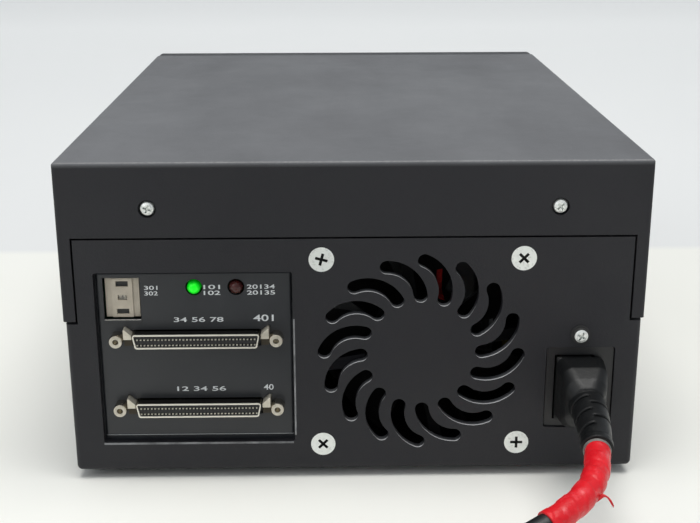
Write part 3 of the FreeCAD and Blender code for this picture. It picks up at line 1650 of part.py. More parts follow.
def drive_chassis():
    """The cast deck with its side walls and skirt, the tray's ledges and the tape path's posts."""
    lid_seat = drive_top - cover_sheet
    outer = box(drive_left, drive_right, drive_rear, drive_front, drive_bottom, lid_seat)
    above = box(drive_left + cast_wall, drive_right - cast_wall, drive_rear + cast_wall, drive_front,
                deck_top, lid_seat)
    below = box(drive_left + cast_wall, drive_right - cast_wall, drive_rear + cast_wall,
                drive_front - cast_wall, drive_bottom, deck_top - cast_base)
    pieces = [
        outer.cut([above, below]),
        rod_z(motor_post_radius, reel_x, reel_y, deck_top, motor_seat(reel_y)),
        box(head_x - head_table_width / 2, head_x + head_table_width / 2, head_y - head_table_depth / 2,
            head_y + head_table_depth / 2, deck_top, head_floor),
    ]
    post_top = head_floor + head_height + 2 * head_travel + head_post_spare
    ledge_rear = loaded_rear - ledge_height
    for sx in (-1, 1):
        pieces.append(rod_z(head_post_radius, head_x + sx * head_post_spread / 2, head_y, head_floor,
                            post_top))
        x = head_x + sx * roller_spread / 2
        pieces.append(rod_z(roller_post_radius, x, roller_y, deck_top, roller_floor))
        pieces.append(rod_z(roller_pin_radius, x, roller_y, roller_floor,
                            roller_floor + roller_height + roller_cap))
        wall_x = drive_x + sx * (drive_width / 2 - cast_wall)
        under_x = drive_x + sx * (tray_half - ledge_under)
        pieces.append(box(min(wall_x, under_x), max(wall_x, under_x), ledge_rear, drive_front,
                          tray_bottom - ledge_gap - ledge_drop, tray_bottom - ledge_gap))
    holes = []
    for y in rail_screw_places():
        for face, sx in ((drive_left, -1), (drive_right, 1)):
            inner = face - sx * (rail_screw_length + screw_spare)
            holes.append(rod_x(rail_screw_shank + screw_gap, y, deck_middle, min(face, inner),
                               max(face, inner)))
    port_bottom = drive_bottom + drive_port_rise
    port_right = drive_x + drive_power_offset + drive_power_width / 2 + drive_port_margin
    port = box(connector_x - header_width / 2, port_right, drive_rear, drive_rear + cast_wall, port_bottom,
               port_bottom + drive_port_height)
    return join(pieces).cut(holes + [port])


roller_height = tape_width + 2 * roller_flange
roller_floor = tape_z - roller_height / 2 - roller_gap
roller_y = head_y + roller_lead
head_floor = tape_z - head_height / 2 - head_travel - head_clearance


def motor_seat(y):
    """The take-up motor stands higher than the clutch's, because its reel is in the tape's plane."""
    if y < loaded_rear:
        return tape_z - tape_width / 2 - reel_flange - motor_gap - motor_height
    return deck_top


def reel_motors():
    motors = []
    for x, y, spindle in ((reel_x, reel_y, tape_width + spindle_reach), (drive_x, clutch_y, clutch_spindle)):
        seat = motor_seat(y)
        rim = seat + motor_height
        can = rod_z(motor_radius, x, y, seat, rim)
        can = can.makeFillet(motor_corner, edges_on(can, lambda c, e: abs(c.z - rim) < 1e-6
                                                    and abs(c.x - x) < 1e-6))
        motors.append(join([can, rod_z(spindle_radius, x, y, rim, rim + spindle)]))
    return group(motors)


def take_up_reel():
    """Two flanges on a hollow hub, with a sleeve for the spindle and a notch for the leader."""
    z0 = tape_z - tape_width / 2 - reel_flange
    bore = spindle_radius + running_gap
    inside = reel_hub_radius - reel_rim
    web_top = reel_flange + reel_web
    sleeve_top = reel_flange + tape_width * spindle_share
    upper = reel_flange + tape_width
    profile = [
        (bore, 0),
        (reel_radius, 0),
        (reel_radius, reel_flange),
        (reel_hub_radius, reel_flange),
        (reel_hub_radius, upper),
        (reel_radius, upper),
        (reel_radius, upper + reel_flange),
        (inside, upper + reel_flange),
        (inside, web_top),
        (bore + reel_rim, web_top),
        (bore + reel_rim, sleeve_top),
        (bore, sleeve_top),
    ]
    reel = revolved(profile, Vector(reel_x, reel_y, z0), Z_AXIS)
    catch = box(reel_x + reel_hub_radius - reel_rim / 2, reel_x + reel_hub_radius + reel_rim,
                reel_y - reel_catch / 2, reel_y + reel_catch / 2,
                z0 + reel_flange + reel_web, z0 + upper - reel_web)
    return reel.cut(catch)


def supply_clutch():
    """The toothed plate that engages the hub under the cartridge."""
    seat = deck_top + motor_height + clutch_gap
    bore = spindle_radius + running_gap
    shoulder = clutch_radius - clutch_hub_drop
    hub = revolved([
        (bore, 0),
        (clutch_radius, 0),
        (clutch_radius, clutch_plate),
        (shoulder, clutch_plate),
        (shoulder, 2 * clutch_plate),
        (bore, 2 * clutch_plate),
    ], Vector(drive_x, clutch_y, seat), Z_AXIS)
    root, tip = clutch_tooth_root / 2, clutch_tooth_tip / 2
    low, high = seat + clutch_plate, seat + clutch_plate + clutch_tooth_height
    outer = drive_x + clutch_radius - clutch_tooth_inset
    teeth = []
    for i in range(clutch_teeth):
        tooth = prism_x([
            (clutch_y - root, low), (clutch_y + root, low), (clutch_y + tip, high), (clutch_y - tip, high),
        ], outer - clutch_tooth, outer)
        tooth.rotate(Vector(drive_x, clutch_y, 0), Z_AXIS, 360.0 / clutch_teeth * i)
        teeth.append(tooth)
    return join([hub] + teeth)


def cartridge_tray():
    """A folded carriage: floor, sides with lips over the cartridge, and a back stop."""
    high = tray_bottom + slot_height + 2 * tray_sheet
    body = box(drive_x - tray_half, drive_x + tray_half, tray_rear, tray_front, tray_bottom, high)
    hollow = box(drive_x - bay_half, drive_x + bay_half, tray_rear + tray_sheet, tray_front,
                 slot_bottom, high - tray_sheet)
    top_opening = box(drive_x - bay_half + tray_lip, drive_x + bay_half - tray_lip, tray_rear,
                      tray_front, high - tray_sheet, high)
    window = rod_z(tray_window_radius, drive_x, clutch_y + tray_travel, tray_bottom, slot_bottom)
    notch = box(drive_x - bay_half, drive_x - bay_half + tray_notch, tray_rear, tray_rear + tray_sheet,
                slot_bottom + tray_notch_margin, high - tray_notch_margin)
    return body.cut([hollow, top_opening, window, notch])


def tape_head():
    """A two-bump head on its carrier, which slides on two posts."""
    z0 = tape_z - head_height / 2
    front_y = head_y + head_depth / 2
    carrier = box(head_x - head_width / 2, head_x + head_width / 2, head_y - head_depth / 2, front_y,
                  z0, z0 + head_height)
    bumps = []
    bores = []
    for sx in (-1, 1):
        bumps.append(rod_z(head_bump_radius, head_x + sx * head_bump_offset, front_y - head_clearance,
                           z0 + head_bump_rise, z0 + head_height - head_bump_rise))
        bores.append(rod_z(head_post_radius + running_gap, head_x + sx * head_post_spread / 2, head_y,
                           z0, z0 + head_height))
    return join([carrier] + bumps).cut(bores)


def guide_roller(sx):
    x = head_x + sx * roller_spread / 2
    bore = roller_pin_radius + running_gap
    rim = roller_radius + roller_lip
    lip = roller_flange * 0.6
    return revolved([
        (bore, 0),
        (rim, 0),
        (rim, lip),
        (roller_radius, roller_flange),
        (roller_radius, roller_height - roller_flange),
        (rim, roller_height - lip),
        (rim, roller_height),
        (bore, roller_height),
    ], Vector(x, roller_y, roller_floor + roller_gap), Z_AXIS)


def drive_board():
    """The drive's own board, hung under the deck with its chips and its two sockets."""
    z = drive_bottom + drive_board_rise
    face = z + board_thickness
    inset = cast_wall + drive_board_gap
    board = box(drive_left + inset, drive_right - inset, drive_rear + inset,
                drive_front - drive_board_front, z, face)
    parts = [board]
    for across, along, width, depth in drive_chips:
        x = drive_x + across * drive_width
        y = drive_rear + along * drive_depth
        w, d = width * drive_width, depth * drive_depth
        parts.append(box(x - w / 2, x + w / 2, y - d / 2, y + d / 2, face, face + drive_chip_height))
    power_x = drive_x + drive_power_offset
    for x, w in ((connector_x, header_width), (power_x, drive_power_width)):
        parts.append(box(x - w / 2, x + w / 2, drive_rear + inset, drive_rear + inset + drive_socket_depth,
                         face, face + drive_socket_height))
    for x in (drive_left + drive_post_side, drive_right - drive_post_side):
        for y in (drive_rear + drive_post_end, drive_front - drive_post_end):
            parts.append(rod_z(drive_post_radius, x, y, face, drive_bottom + base_rise))
    return join(parts)


def drive_cover():
    """The thin sheet lid that closes the casting."""
    lid_seat = drive_top - cover_sheet
    lid = box(drive_left, drive_right, drive_rear, drive_front, lid_seat, drive_top)
    vents = []
    for i in range(drive_vents):
        y = drive_rear + drive_vent_inset + i * drive_vent_pitch
        vents.append(box(drive_x + drive_vent_inset, drive_x + drive_vent_inset + drive_vent_length,
                         y, y + drive_vent_width, lid_seat, drive_top))
    return lid.cut(vents)


eject_x = drive_x + drive_width / 2 - eject_inset
eject_z = drive_bottom + eject_rise


def drive_bezel():
    """The drive's moulded front, with a throat for the cartridge and bearings for its door."""
    width = drive_width + 2 * drive_bezel_lap
    height = drive_height + 2 * drive_bezel_lap
    z = (drive_bottom + drive_top) / 2
    face = front - drive_bezel_face
    body = round_box_y(drive_x, z, width, height, drive_front, front, drive_bezel_corner)
    side = drive_width / 2 - drive_bezel_side
    hollow = box(drive_x - side, drive_x + side, drive_front, face, drive_bottom + drive_bezel_side,
                 drive_top - drive_bezel_side)
    throat_half = slot_half + throat_wall
    throat_out = box(drive_x - throat_half, drive_x + throat_half, drive_front, face,
                     slot_bottom - throat_wall, slot_top + throat_wall)
    throat = box(drive_x - slot_half, drive_x + slot_half, drive_front, front, slot_bottom, slot_top)
    pin_end = slot_half + door_pin_length
    cutters = [
        throat,
        rod_x(door_pin + running_gap, door_y, door_pivot_z, drive_x - pin_end, drive_x + pin_end),
        round_box_y(eject_x, eject_z, eject_width + 2 * eject_gap, eject_height + 2 * eject_gap,
                    face, front, eject_corner),
    ]
    for x in lens_places():
        cutters.append(rod_y(lens_radius + lens_gap, x, eject_z, face, front))
    return join([body.cut(hollow), throat_out]).cut(cutters)


def lens_places():
    return [drive_x - drive_width / 2 + lens_inset + i * lens_pitch for i in range(lens_count)]


def cartridge_door():
    half = slot_half - door_gap
    pin_end = slot_half + door_pin_length - pin_end_gap
    plate = box(drive_x - half, drive_x + half, door_y - door_thickness / 2, door_y + door_thickness / 2,
                door_bottom, door_pivot_z)
    barrel = rod_x(door_barrel, door_y, door_pivot_z, drive_x - half, drive_x + half)
    pins = rod_x(door_pin, door_y, door_pivot_z, drive_x - pin_end, drive_x + pin_end)
    return join([plate, barrel, pins])


def eject_button():
    half_x, half_z = eject_width / 2, eject_height / 2
    back, tip = front - eject_depth, front + eject_reach
    cap = round_box_y(eject_x, eject_z, eject_width, eject_height, back, tip, eject_corner)
    cap = cap.makeFillet(eject_corner * 0.7, edges_on(cap, lambda c, e: abs(c.y - tip) < 1e-6))
    collar = box(eject_x - half_x - eject_collar, eject_x + half_x + eject_collar, back,
                 back + eject_collar_depth - seat_gap, eject_z - half_z - eject_collar,
                 eject_z + half_z + eject_collar)
    return join([cap, collar])


def indicator_lenses():
    return group([
        rod_y(lens_radius, x, eject_z, front - lens_depth, front + lens_reach) for x in lens_places()
    ])


# ================================================================ front bezel and power switch
rocker_x = (supply_left + upper_half - bezel_wall) / 2
rocker_z = drive_top - rocker_drop
rocker_y = front - rocker_pin_set
cavity_half = rocker_radius + rocker_gap
shaft_half = rocker_width / 2 + rocker_gap


def front_bezel():
    block = box(-upper_half, upper_half, shell_front, front, base, top)
    rounded = edges_on(
        block,
        lambda c, e: abs(c.y - front) < 1e-6
        or (abs(c.z - top) < 1e-6 and abs(abs(c.x) - upper_half) < 1e-6),
    )
    block = block.makeFillet(bezel_radius, rounded)
    face = front - bezel_wall
    block = block.cut(box(-upper_half + bezel_wall, upper_half - bezel_wall, shell_front, face,
                          base + bezel_wall, top - bezel_wall))
    z = (drive_bottom + drive_top) / 2
    width = drive_width + 2 * (drive_bezel_lap + drive_bezel_gap)
    height = drive_height + 2 * (drive_bezel_lap + drive_bezel_gap)
    corner = drive_bezel_corner
    rim = round_box_y(drive_x, z, width + 2 * throat_wall, height + 2 * throat_wall, shell_front, face,
                      corner + throat_wall)
    half_x = shaft_half + switch_wall + switch_fit
    half_z = cavity_half + switch_wall + switch_fit
    cutters = [
        round_box_y(drive_x, z, width, height, shell_front, front, corner + drive_bezel_gap),
        box(rocker_x - half_x, rocker_x + half_x, face, front, rocker_z - half_z, rocker_z + half_z),
    ]
    for i in range(vent_slots):
        z = base + vent_slot_rise + i * vent_slot_pitch
        cutters.append(box(rocker_x - vent_slot_length / 2, rocker_x + vent_slot_length / 2, face, front,
                           z, z + vent_slot_height))
    return join([block, rim]).cut(cutters)


def switch_terminal(z, grow):
    half = terminal_width / 2 + grow
    back = front - switch_depth
    return box(rocker_x - half, rocker_x + half, back - terminal_length, back,
               z - terminal_thickness / 2 - grow, z + terminal_thickness / 2 + grow)


def switch_body():
    half_x = shaft_half + switch_wall
    half_z = cavity_half + switch_wall
    flange = round_box_y(rocker_x, rocker_z, 2 * (half_x + switch_flange_lap),
                         2 * (half_z + switch_flange_lap), front, front + switch_flange, switch_corner)
    body = box(rocker_x - half_x, rocker_x + half_x, front - switch_depth, front,
               rocker_z - half_z, rocker_z + half_z)
    cavity = box(rocker_x - shaft_half, rocker_x + shaft_half, front - switch_cavity, front + switch_flange,
                 rocker_z - cavity_half, rocker_z + cavity_half)
    pins = rod_x(rocker_pin_radius + running_gap, rocker_y, rocker_z, rocker_x - half_x, rocker_x + half_x)
    terminals = [switch_terminal(rocker_z + sz * terminal_pitch / 2, 0.0) for sz in (-1, 1)]
    return join([flange, body] + terminals).cut([cavity, pins])


def power_rocker():
    """Part of a disc on a pin, with a shallow valley across its front."""
    half = rocker_width / 2
    disc = rod_x(rocker_radius, rocker_y, rocker_z, rocker_x - half, rocker_x + half)
    back = rocker_y - rocker_back
    apex = rocker_y + rocker_nose
    rim = apex + rocker_radius * math.tan(math.radians(rocker_tilt))
    keep = prism_x([
        (back, rocker_z - rocker_radius),
        (rim, rocker_z - rocker_radius),
        (apex, rocker_z),
        (rim, rocker_z + rocker_radius),
        (back, rocker_z + rocker_radius),
    ], rocker_x - half, rocker_x + half)
    pin_end = half + rocker_gap + switch_wall - pin_end_gap
    pins = rod_x(rocker_pin_radius, rocker_y, rocker_z, rocker_x - pin_end, rocker_x + pin_end)
    rocker = join([disc.common(keep), pins])
    rocker.rotate(Vector(rocker_x, rocker_y, rocker_z), X_AXIS, rocker_tilt)
    return rocker


# ================================================================ cables inside
def ribbon_cable():
    """The flat cable from the connector board's header down to the drive's socket."""
    half = header_width / 2 - ribbon_margin
    y0 = board_back + header_depth - ribbon_entry
    y1 = drive_rear + cast_wall + drive_board_gap
    middle = (y0 + ribbon_entry + y1) / 2
    thick = ribbon_thickness
    z0 = (io_bottom + io_top) / 2 - thick / 2
    z1 = drive_bottom + drive_board_rise + board_thickness + ribbon_rise - thick / 2
    inner, outer = ribbon_bend, ribbon_bend + thick
    return prism_x([
        (y0, z0), (middle, z0), (middle, z1), (y1, z1),
        (y1, z1 + thick), (middle + thick, z1 + thick), (middle + thick, z0 + thick), (y0, z0 + thick),
    ], connector_x - half, connector_x + half, [0, inner, outer, 0, 0, inner, outer, 0])


def dc_harness():
    """Four wires from the drive's power socket to the supply board's header."""
    socket_face = drive_rear + cast_wall + drive_board_gap
    pitch = 2.75 * power_wire_radius
    z = drive_bottom + drive_board_rise + board_thickness + ribbon_rise
    wires = []
    for i in range(4):
        x = drive_x + drive_power_offset + (i - 1.5) * pitch
        back = drive_rear - 6.0 - i * pitch
        high = wire_z - 3.0 + (i % 2) * 2.4 * power_wire_radius
        end_x = dc_header_left + dc_header_width / 3 + i * pitch
        wires.append(lead([
            Vector(x, socket_face, z),
            Vector(x, socket_face - 7.0, z),
            Vector(x + 5.0, back, z + 0.3),
            Vector(drive_right - 12.0, back - 0.4, z + 0.6),
            Vector(supply_left - 1.0, header_rear - 3.5 - i * 0.2, high),
            Vector(end_x - 3.5, header_rear - 3.4, high),
            Vector(end_x, header_rear - 1.5, high),
            Vector(end_x, header_rear, high),
        ], power_wire_radius)[0])
    return group(wires)


# ================================================================ cord
def cord_points():
    """The middle line of the cord, from the plug's boot to the coil on the table."""
    return [
        Vector(78.9, -183.0, 33.4),
        Vector(77.0, -194.8, 32.2),
        Vector(71.4, -206.0, 30.4),
        Vector(62.5, -215.5, 28.4),
        Vector(51.0, -222.5, 25.6),
        Vector(38.5, -227.5, 21.3),
        Vector(26.0, -231.5, 15.4),
        Vector(13.5, -234.5, 9.6),
        Vector(0.0, -236.5, 5.4),
        Vector(-12.0, -237.0, 3.8),
    ]


def cord_tail_points():
    return [
        Vector(-39.0, -243.7, 11.6),
        Vector(-52.9, -251.7, 11.7),
        Vector(-65.5, -261.6, 11.9),
        Vector(-74.7, -273.4, 12.1),
        Vector(-80.0, -286.4, 12.4),
        Vector(-81.7, -298.3, 12.4),
    ]


def cord_coil():
    """The turns that are put away, tied in a neat ring of two layers."""
    width = coil_strands * cord_diameter + 3 * coil_slack
    height = coil_layers * cord_diameter + coil_slack
    inner = coil_x + coil_mid_radius - width / 2
    corners = [
        Vector(inner, coil_y, 0),
        Vector(inner + width, coil_y, 0),
        Vector(inner + width, coil_y, height),
        Vector(inner, coil_y, height),
    ]
    section = Part.Face(Part.Wire(rounded_edges(corners, [cord_diameter * coil_corner] * 4)))
    return section.revolve(Vector(coil_x, coil_y, 0), Z_AXIS, 360)


def red_tape():
    points = cord_points()[:5]
    points[4] = points[3] + (points[4] - points[3]) * tape_share
    outer, _, _ = lead(points, cord_diameter / 2 + tape_thickness)
    inner, _, _ = lead(points, cord_diameter / 2)
    return outer.cut(inner)


def mains_plug_place():
    """The end of the cord, and how far the plug turns about it to carry on in line."""
    before, start = cord_tail_points()[-2:]
    direction = start - before
    return start, math.degrees(math.atan2(direction.x, -direction.y))


def mains_plug():
    start, heading = mains_plug_place()
    half = mains_plug_width / 2
    neck = Part.makeCone(mains_neck_start, mains_neck_end, mains_neck_length, start, Y_AXIS * -1)
    back = start.y - mains_neck_length + 1.0
    body = box(start.x - half, start.x + half, back - mains_plug_length, back, mains_plug_lift,
               mains_plug_lift + mains_plug_height)
    body = body.makeFillet(mains_plug_corner, edges_on(
        body, lambda c, e: abs(c.y - back + mains_plug_length / 2) < 1.0))
    plug = join([neck, body])
    plug.rotate(start, Z_AXIS, heading)
    return plug


def mains_blades():
    start, heading = mains_plug_place()
    y = start.y - mains_neck_length + 1.0 - mains_plug_length
    half = mains_blade_thickness / 2
    blades = []
    for sx in (-1, 1):
        x = start.x + sx * mains_blade_pitch / 2
        blades.append(box(x - half, x + half, y - mains_blade_length, y, mains_blade_low,
                          mains_blade_low + mains_blade_height))
    blades.append(rod_y(earth_pin_radius, start.x, earth_pin_height, y - earth_pin_length, y))
    shape = group(blades)
    shape.rotate(start, Z_AXIS, heading)
    return shape


# ================================================================ every node
def build():
    save("lower_shell", lower_shell())
    save("upper_shell", upper_shell())
    save("front_bezel", front_bezel())
    save("rubber_feet", rubber_feet())
    save("cover_screws", cover_screws())
    save("fan_screws", fan_screws())
    save("earth_screw", earth_screw())
    save("io_plate", io_plate())
    save("io_board", io_board())
    for name, level in connector_levels.items():
        save(name + "_connector_shell", connector_shell(level))
        save(name + "_connector_insulator", connector_insulator(level))
        save(name + "_connector_contacts", connector_contacts(level))
    save("jack_screws", jack_screws())
    save("latch_brackets", latch_brackets())
    save("activity_led", led(activity_led_offset))
    save("fault_led", led(fault_led_offset))
    save("id_switch_body", id_switch_body())
    save("id_wheel", id_wheel())
    save("id_up_button", id_key(1))
    save("id_down_button", id_key(-1))
    save("fan_frame", fan_frame())
    save("fan_stator", fan_stator())
    save("fan_rotor", fan_rotor())
    save("fan_lead", fan_lead())
    save("inlet_body", inlet_body())
    save("inlet_blades", inlet_blades())
    save("ac_leads", ac_leads())
    save("psu_bracket", psu_bracket())
    save("psu_board", psu_board())
    save("psu_parts", psu_parts())
    save("dc_harness", dc_harness())
    save("ribbon_cable", ribbon_cable())
    save("drive_rails", drive_rails())
    save("drive_screws", drive_screws())
    save("drive_chassis", drive_chassis())
    save("drive_cover", drive_cover())
    save("drive_bezel", drive_bezel())
    save("drive_board", drive_board())
    save("cartridge_door", cartridge_door())
    save("eject_button", eject_button())
    save("indicator_lenses", indicator_lenses())
    save("cartridge_tray", cartridge_tray())
    save("reel_motors", reel_motors())
    save("take_up_reel", take_up_reel())
    save("supply_clutch", supply_clutch())
    save("tape_head", tape_head())
    save("guide_roller_left", guide_roller(-1))
    save("guide_roller_right", guide_roller(1))
    save("switch_body", switch_body())
    save("power_rocker", power_rocker())
    save("cord_plug", cord_plug())
    tube, radii, length = lead(cord_points(), cord_diameter / 2)
    print("cord radii", [round(r, 1) for r in radii], "length", round(length, 1))
    save("power_cord", tube)
    save("red_tape", red_tape())
    save("cord_coil", cord_coil())
    tail, radii, length = lead(cord_tail_points(), cord_diameter / 2)
    print("tail radii", [round(r, 1) for r in radii], "length", round(length, 1))
    save("cord_tail", tail)
    save("mains_plug", mains_plug())
    save("mains_blades", mains_blades())


build()
print("case", round(body_width, 2), round(body_depth, 2), round(top, 2), "posts", round(jack_spacing, 2))
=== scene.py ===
import bpy
import bmesh
import math
from mathutils import Matrix, Vector, noise


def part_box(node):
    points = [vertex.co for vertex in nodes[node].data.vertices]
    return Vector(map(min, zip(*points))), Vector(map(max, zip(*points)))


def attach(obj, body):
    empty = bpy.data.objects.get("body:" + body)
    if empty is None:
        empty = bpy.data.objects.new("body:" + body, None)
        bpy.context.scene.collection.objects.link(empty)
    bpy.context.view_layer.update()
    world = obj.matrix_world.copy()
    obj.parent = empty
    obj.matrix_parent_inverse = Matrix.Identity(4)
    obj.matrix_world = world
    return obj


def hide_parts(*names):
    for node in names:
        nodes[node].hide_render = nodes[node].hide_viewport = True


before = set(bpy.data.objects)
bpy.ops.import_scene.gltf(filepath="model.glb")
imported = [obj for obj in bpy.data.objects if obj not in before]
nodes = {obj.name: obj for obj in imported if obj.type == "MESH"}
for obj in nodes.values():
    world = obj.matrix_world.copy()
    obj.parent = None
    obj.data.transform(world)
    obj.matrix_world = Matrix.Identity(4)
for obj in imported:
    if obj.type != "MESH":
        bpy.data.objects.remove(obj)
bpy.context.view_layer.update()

# ---------------------------------------------------------------- studio
# A pale table top that turns cooler beyond its far edge, a wall a long way behind, a lamp to one
# side and one overhead, and the camera that looks down on the connector panel. None of it
# belongs to the drive.

table_half = 4.0
wall_distance = 3.4
wall_height = 4.0
table_edge = 0.145
full_glow_distance = 1.3        # where the table's own glow is at its most
most_glow = 0.34
camera_back = 0.3983            # behind the rear face
camera_rise = 0.2083            # above the underside
camera_aside = -0.00734
camera_pan = -0.83              # degrees
camera_tilt = 72.27
camera_roll = -0.16
far = 10.0                      # beyond every piece


def linear(colour):
    """A display colour, 0 to 255, as the four linear values that a shader takes."""
    shares = [c / 255 for c in colour]
    return [c / 12.92 if c <= 0.04045 else ((c + 0.055) / 1.055) ** 2.4 for c in shares] + [1]


class Finish:
    """A material in the piece's own coordinates: sizes in metres, colours as displayed."""

    def __init__(self, name, dark, light, roughness, metallic=0.0, patch=0.02, stretch=(1, 1, 1)):
        self.material = bpy.data.materials.new(name)
        self.material.use_nodes = True
        self.tree = self.material.node_tree
        self.shader = self.tree.nodes["Principled BSDF"]
        self.where = self.add("TexCoord").outputs["Object"]
        self.feed("Base Color", self.blend(self.noise(patch, 0, 1, stretch), linear(dark), linear(light)))
        self.feed("Roughness", self.noise(patch / 4, roughness * 0.85, min(roughness * 1.15, 1), stretch))
        self.feed("Metallic", metallic)

    def add(self, kind, inputs=None, **settings):
        """A node; each input is a plain value or another node's output."""
        node = self.tree.nodes.new("ShaderNode" + kind)
        for name, value in settings.items():
            setattr(node, name, value)
        for key, value in (inputs or {}).items():
            if isinstance(value, bpy.types.NodeSocket):
                self.tree.links.new(value, node.inputs[key])
            else:
                node.inputs[key].default_value = value
        return node

    def feed(self, name, value):
        if isinstance(value, bpy.types.NodeSocket):
            self.tree.links.new(value, self.shader.inputs[name])
        else:
            self.shader.inputs[name].default_value = value

    def fed(self, name):
        socket = self.shader.inputs[name]
        return socket.links[0].from_socket if socket.is_linked else socket.default_value

    def math(self, operation, a, b=0.0):
        return self.add("Math", {0: a, 1: b}, operation=operation).outputs[0]

    def blend(self, mask, a, b):
        return self.add("Mix", {0: mask, 6: a, 7: b}, data_type="RGBA").outputs[2]

    def noise(self, size, low=0.0, high=1.0, stretch=(1, 1, 1), spread=0.22):
        """A drift between low and high, in patches of that size."""
        place = self.add("Mapping", {"Vector": self.where, "Scale": stretch}).outputs[0]
        value = self.add("TexNoise", {"Vector": place, "Scale": 1 / size, "Detail": 4, "Roughness": 0.6})
        return self.add("MapRange", {"Value": value.outputs[0], "From Min": 0.5 - spread,
                                     "From Max": 0.5 + spread, "To Min": low, "To Max": high}).outputs[0]

    def axis(self, name):
        return self.add("SeparateXYZ", {0: self.where}).outputs[name]

    def ramp(self, value, start, end):
        """0 up to start, 1 from end."""
        return self.add("MapRange", {"Value": value, "From Min": start, "From Max": end}).outputs[0]

    def zone(self, x=(-far, far), y=(-far, far), z=(-far, far)):
        """1 inside a box of the piece's coordinates."""
        middle = [(low + high) / 2 for low, high in (x, y, z)]
        reach = [(high - low) / 2 for low, high in (x, y, z)]
        away = self.add("VectorMath", {0: self.where, 1: middle}, operation="SUBTRACT").outputs[0]
        away = self.add("VectorMath", {0: away}, operation="ABSOLUTE").outputs[0]
        away = self.add("VectorMath", {0: away, 1: reach}, operation="SUBTRACT").outputs[0]
        parts = self.add("SeparateXYZ", {0: away}).outputs
        most = self.math("MAXIMUM", self.math("MAXIMUM", parts[0], parts[1]), parts[2])
        return self.math("LESS_THAN", most, 0.0)

    def over(self, mask, colour=None, roughness=None, metallic=None):
        """Another colour or shine where the mask is 1."""
        if colour:
            self.feed("Base Color", self.blend(mask, self.fed("Base Color"), linear(colour)))
        for name, value in (("Roughness", roughness), ("Metallic", metallic)):
            if value is not None:
                self.feed(name, self.add("Mix", {0: mask, 2: self.fed(name), 3: value}).outputs[0])
        return self

    def relief(self, height, depth):
        """Stands out of the surface by up to depth."""
        inputs = {"Height": height, "Distance": depth}
        if self.shader.inputs["Normal"].is_linked:
            inputs["Normal"] = self.fed("Normal")
        self.feed("Normal", self.add("Bump", inputs).outputs[0])
        return self

    def soften(self, radius):
        """Edges catch the light as if they were rounded by that radius."""
        self.feed("Normal", self.add("Bevel", {"Radius": radius}, samples=6).outputs[0])
        return self

    def facing_up(self, start=0.3, end=0.9):
        """1 where the surface looks upwards."""
        parts = self.add("SeparateXYZ", {0: self.add("TexCoord").outputs["Normal"]})
        return self.ramp(parts.outputs["Z"], start, end)

    def grain(self, size, depth, stretch=(1, 1, 1)):
        return self.relief(self.noise(size, 0, 1, stretch), depth)

    def wear(self, *names):
        """These CAD nodes take the finish."""
        for name in names:
            nodes[name].data.materials.clear()
            nodes[name].data.materials.append(self.material)
        return self


def link(piece, body=None):
    """Puts a new piece in the scene: on a body, or on the stage."""
    bpy.context.scene.collection.objects.link(piece)
    if body:
        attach(piece, body)
    return piece


def mesh_piece(name, mesh, finish, body=None, smooth=True):
    data = bpy.data.meshes.new(name)
    bmesh.ops.recalc_face_normals(mesh, faces=mesh.faces[:])
    mesh.to_mesh(data)
    mesh.free()
    data.materials.append(finish.material)
    for face in data.polygons:
        face.use_smooth = smooth
    return link(bpy.data.objects.new(name, data), body)


table_paint = Finish("table_paint", (237, 237, 231), (240, 240, 235), 0.85, patch=0.6)
beyond = table_paint.ramp(table_paint.axis("Y"), table_edge, table_edge + 0.01)
table_paint.over(beyond, (226, 227, 227))
light_path = table_paint.add("LightPath").outputs
bounced = table_paint.math("MAXIMUM", light_path["Is Glossy Ray"], light_path["Is Transmission Ray"])
seen = table_paint.math("MAXIMUM", light_path["Is Camera Ray"], bounced)
distance = table_paint.ramp(table_paint.axis("Y"), table_edge, full_glow_distance)
far_off = table_paint.math("MULTIPLY", distance, most_glow)
table_paint.feed("Emission Color", linear((232, 233, 231)))
table_paint.feed("Emission Strength", table_paint.math("MULTIPLY", far_off, seen))
ground_paint = Finish("ground_paint", (236, 237, 238), (239, 240, 240), 0.9, patch=0.9)
for name, corners, paint in (
    ("table_top", [(-table_half, -table_half, 0), (table_half, -table_half, 0),
                   (table_half, wall_distance, 0), (-table_half, wall_distance, 0)], table_paint),
    ("back_wall", [(-table_half, wall_distance, 0), (table_half, wall_distance, 0),
                   (table_half, wall_distance, wall_height),
                   (-table_half, wall_distance, wall_height)], ground_paint),
):
    mesh = bmesh.new()
    mesh.faces.new([mesh.verts.new(corner) for corner in corners])
    mesh_piece(name, mesh, paint)


def lamp(name, place, aim, size, power, colour=(1, 1, 1)):
    light = bpy.data.lights.new(name, "AREA")
    light.shape = "RECTANGLE"
    light.size, light.size_y = size
    light.energy = power
    light.color = colour
    holder = bpy.data.objects.new(name, light)
    holder.location = place
    holder.rotation_euler = (Vector(aim) - Vector(place)).to_track_quat("-Z", "Y").to_euler()
    bpy.context.scene.collection.objects.link(holder)


lamp("overhead_lamp", (0.1, -0.3, 1.7), (0, 0, 0), (1.4, 1.0), 25, (1, 0.985, 0.955))
lamp("window_lamp", (-1.3, -1.2, 1.1), (0, 0, 0.05), (1.2, 1.2), 6)

world = bpy.data.worlds.new("room")
bpy.context.scene.world = world
world.use_nodes = True
world.node_tree.nodes["Background"].inputs["Color"].default_value = (0.88, 0.94, 1.0, 1)
world.node_tree.nodes["Background"].inputs["Strength"].default_value = 0.42

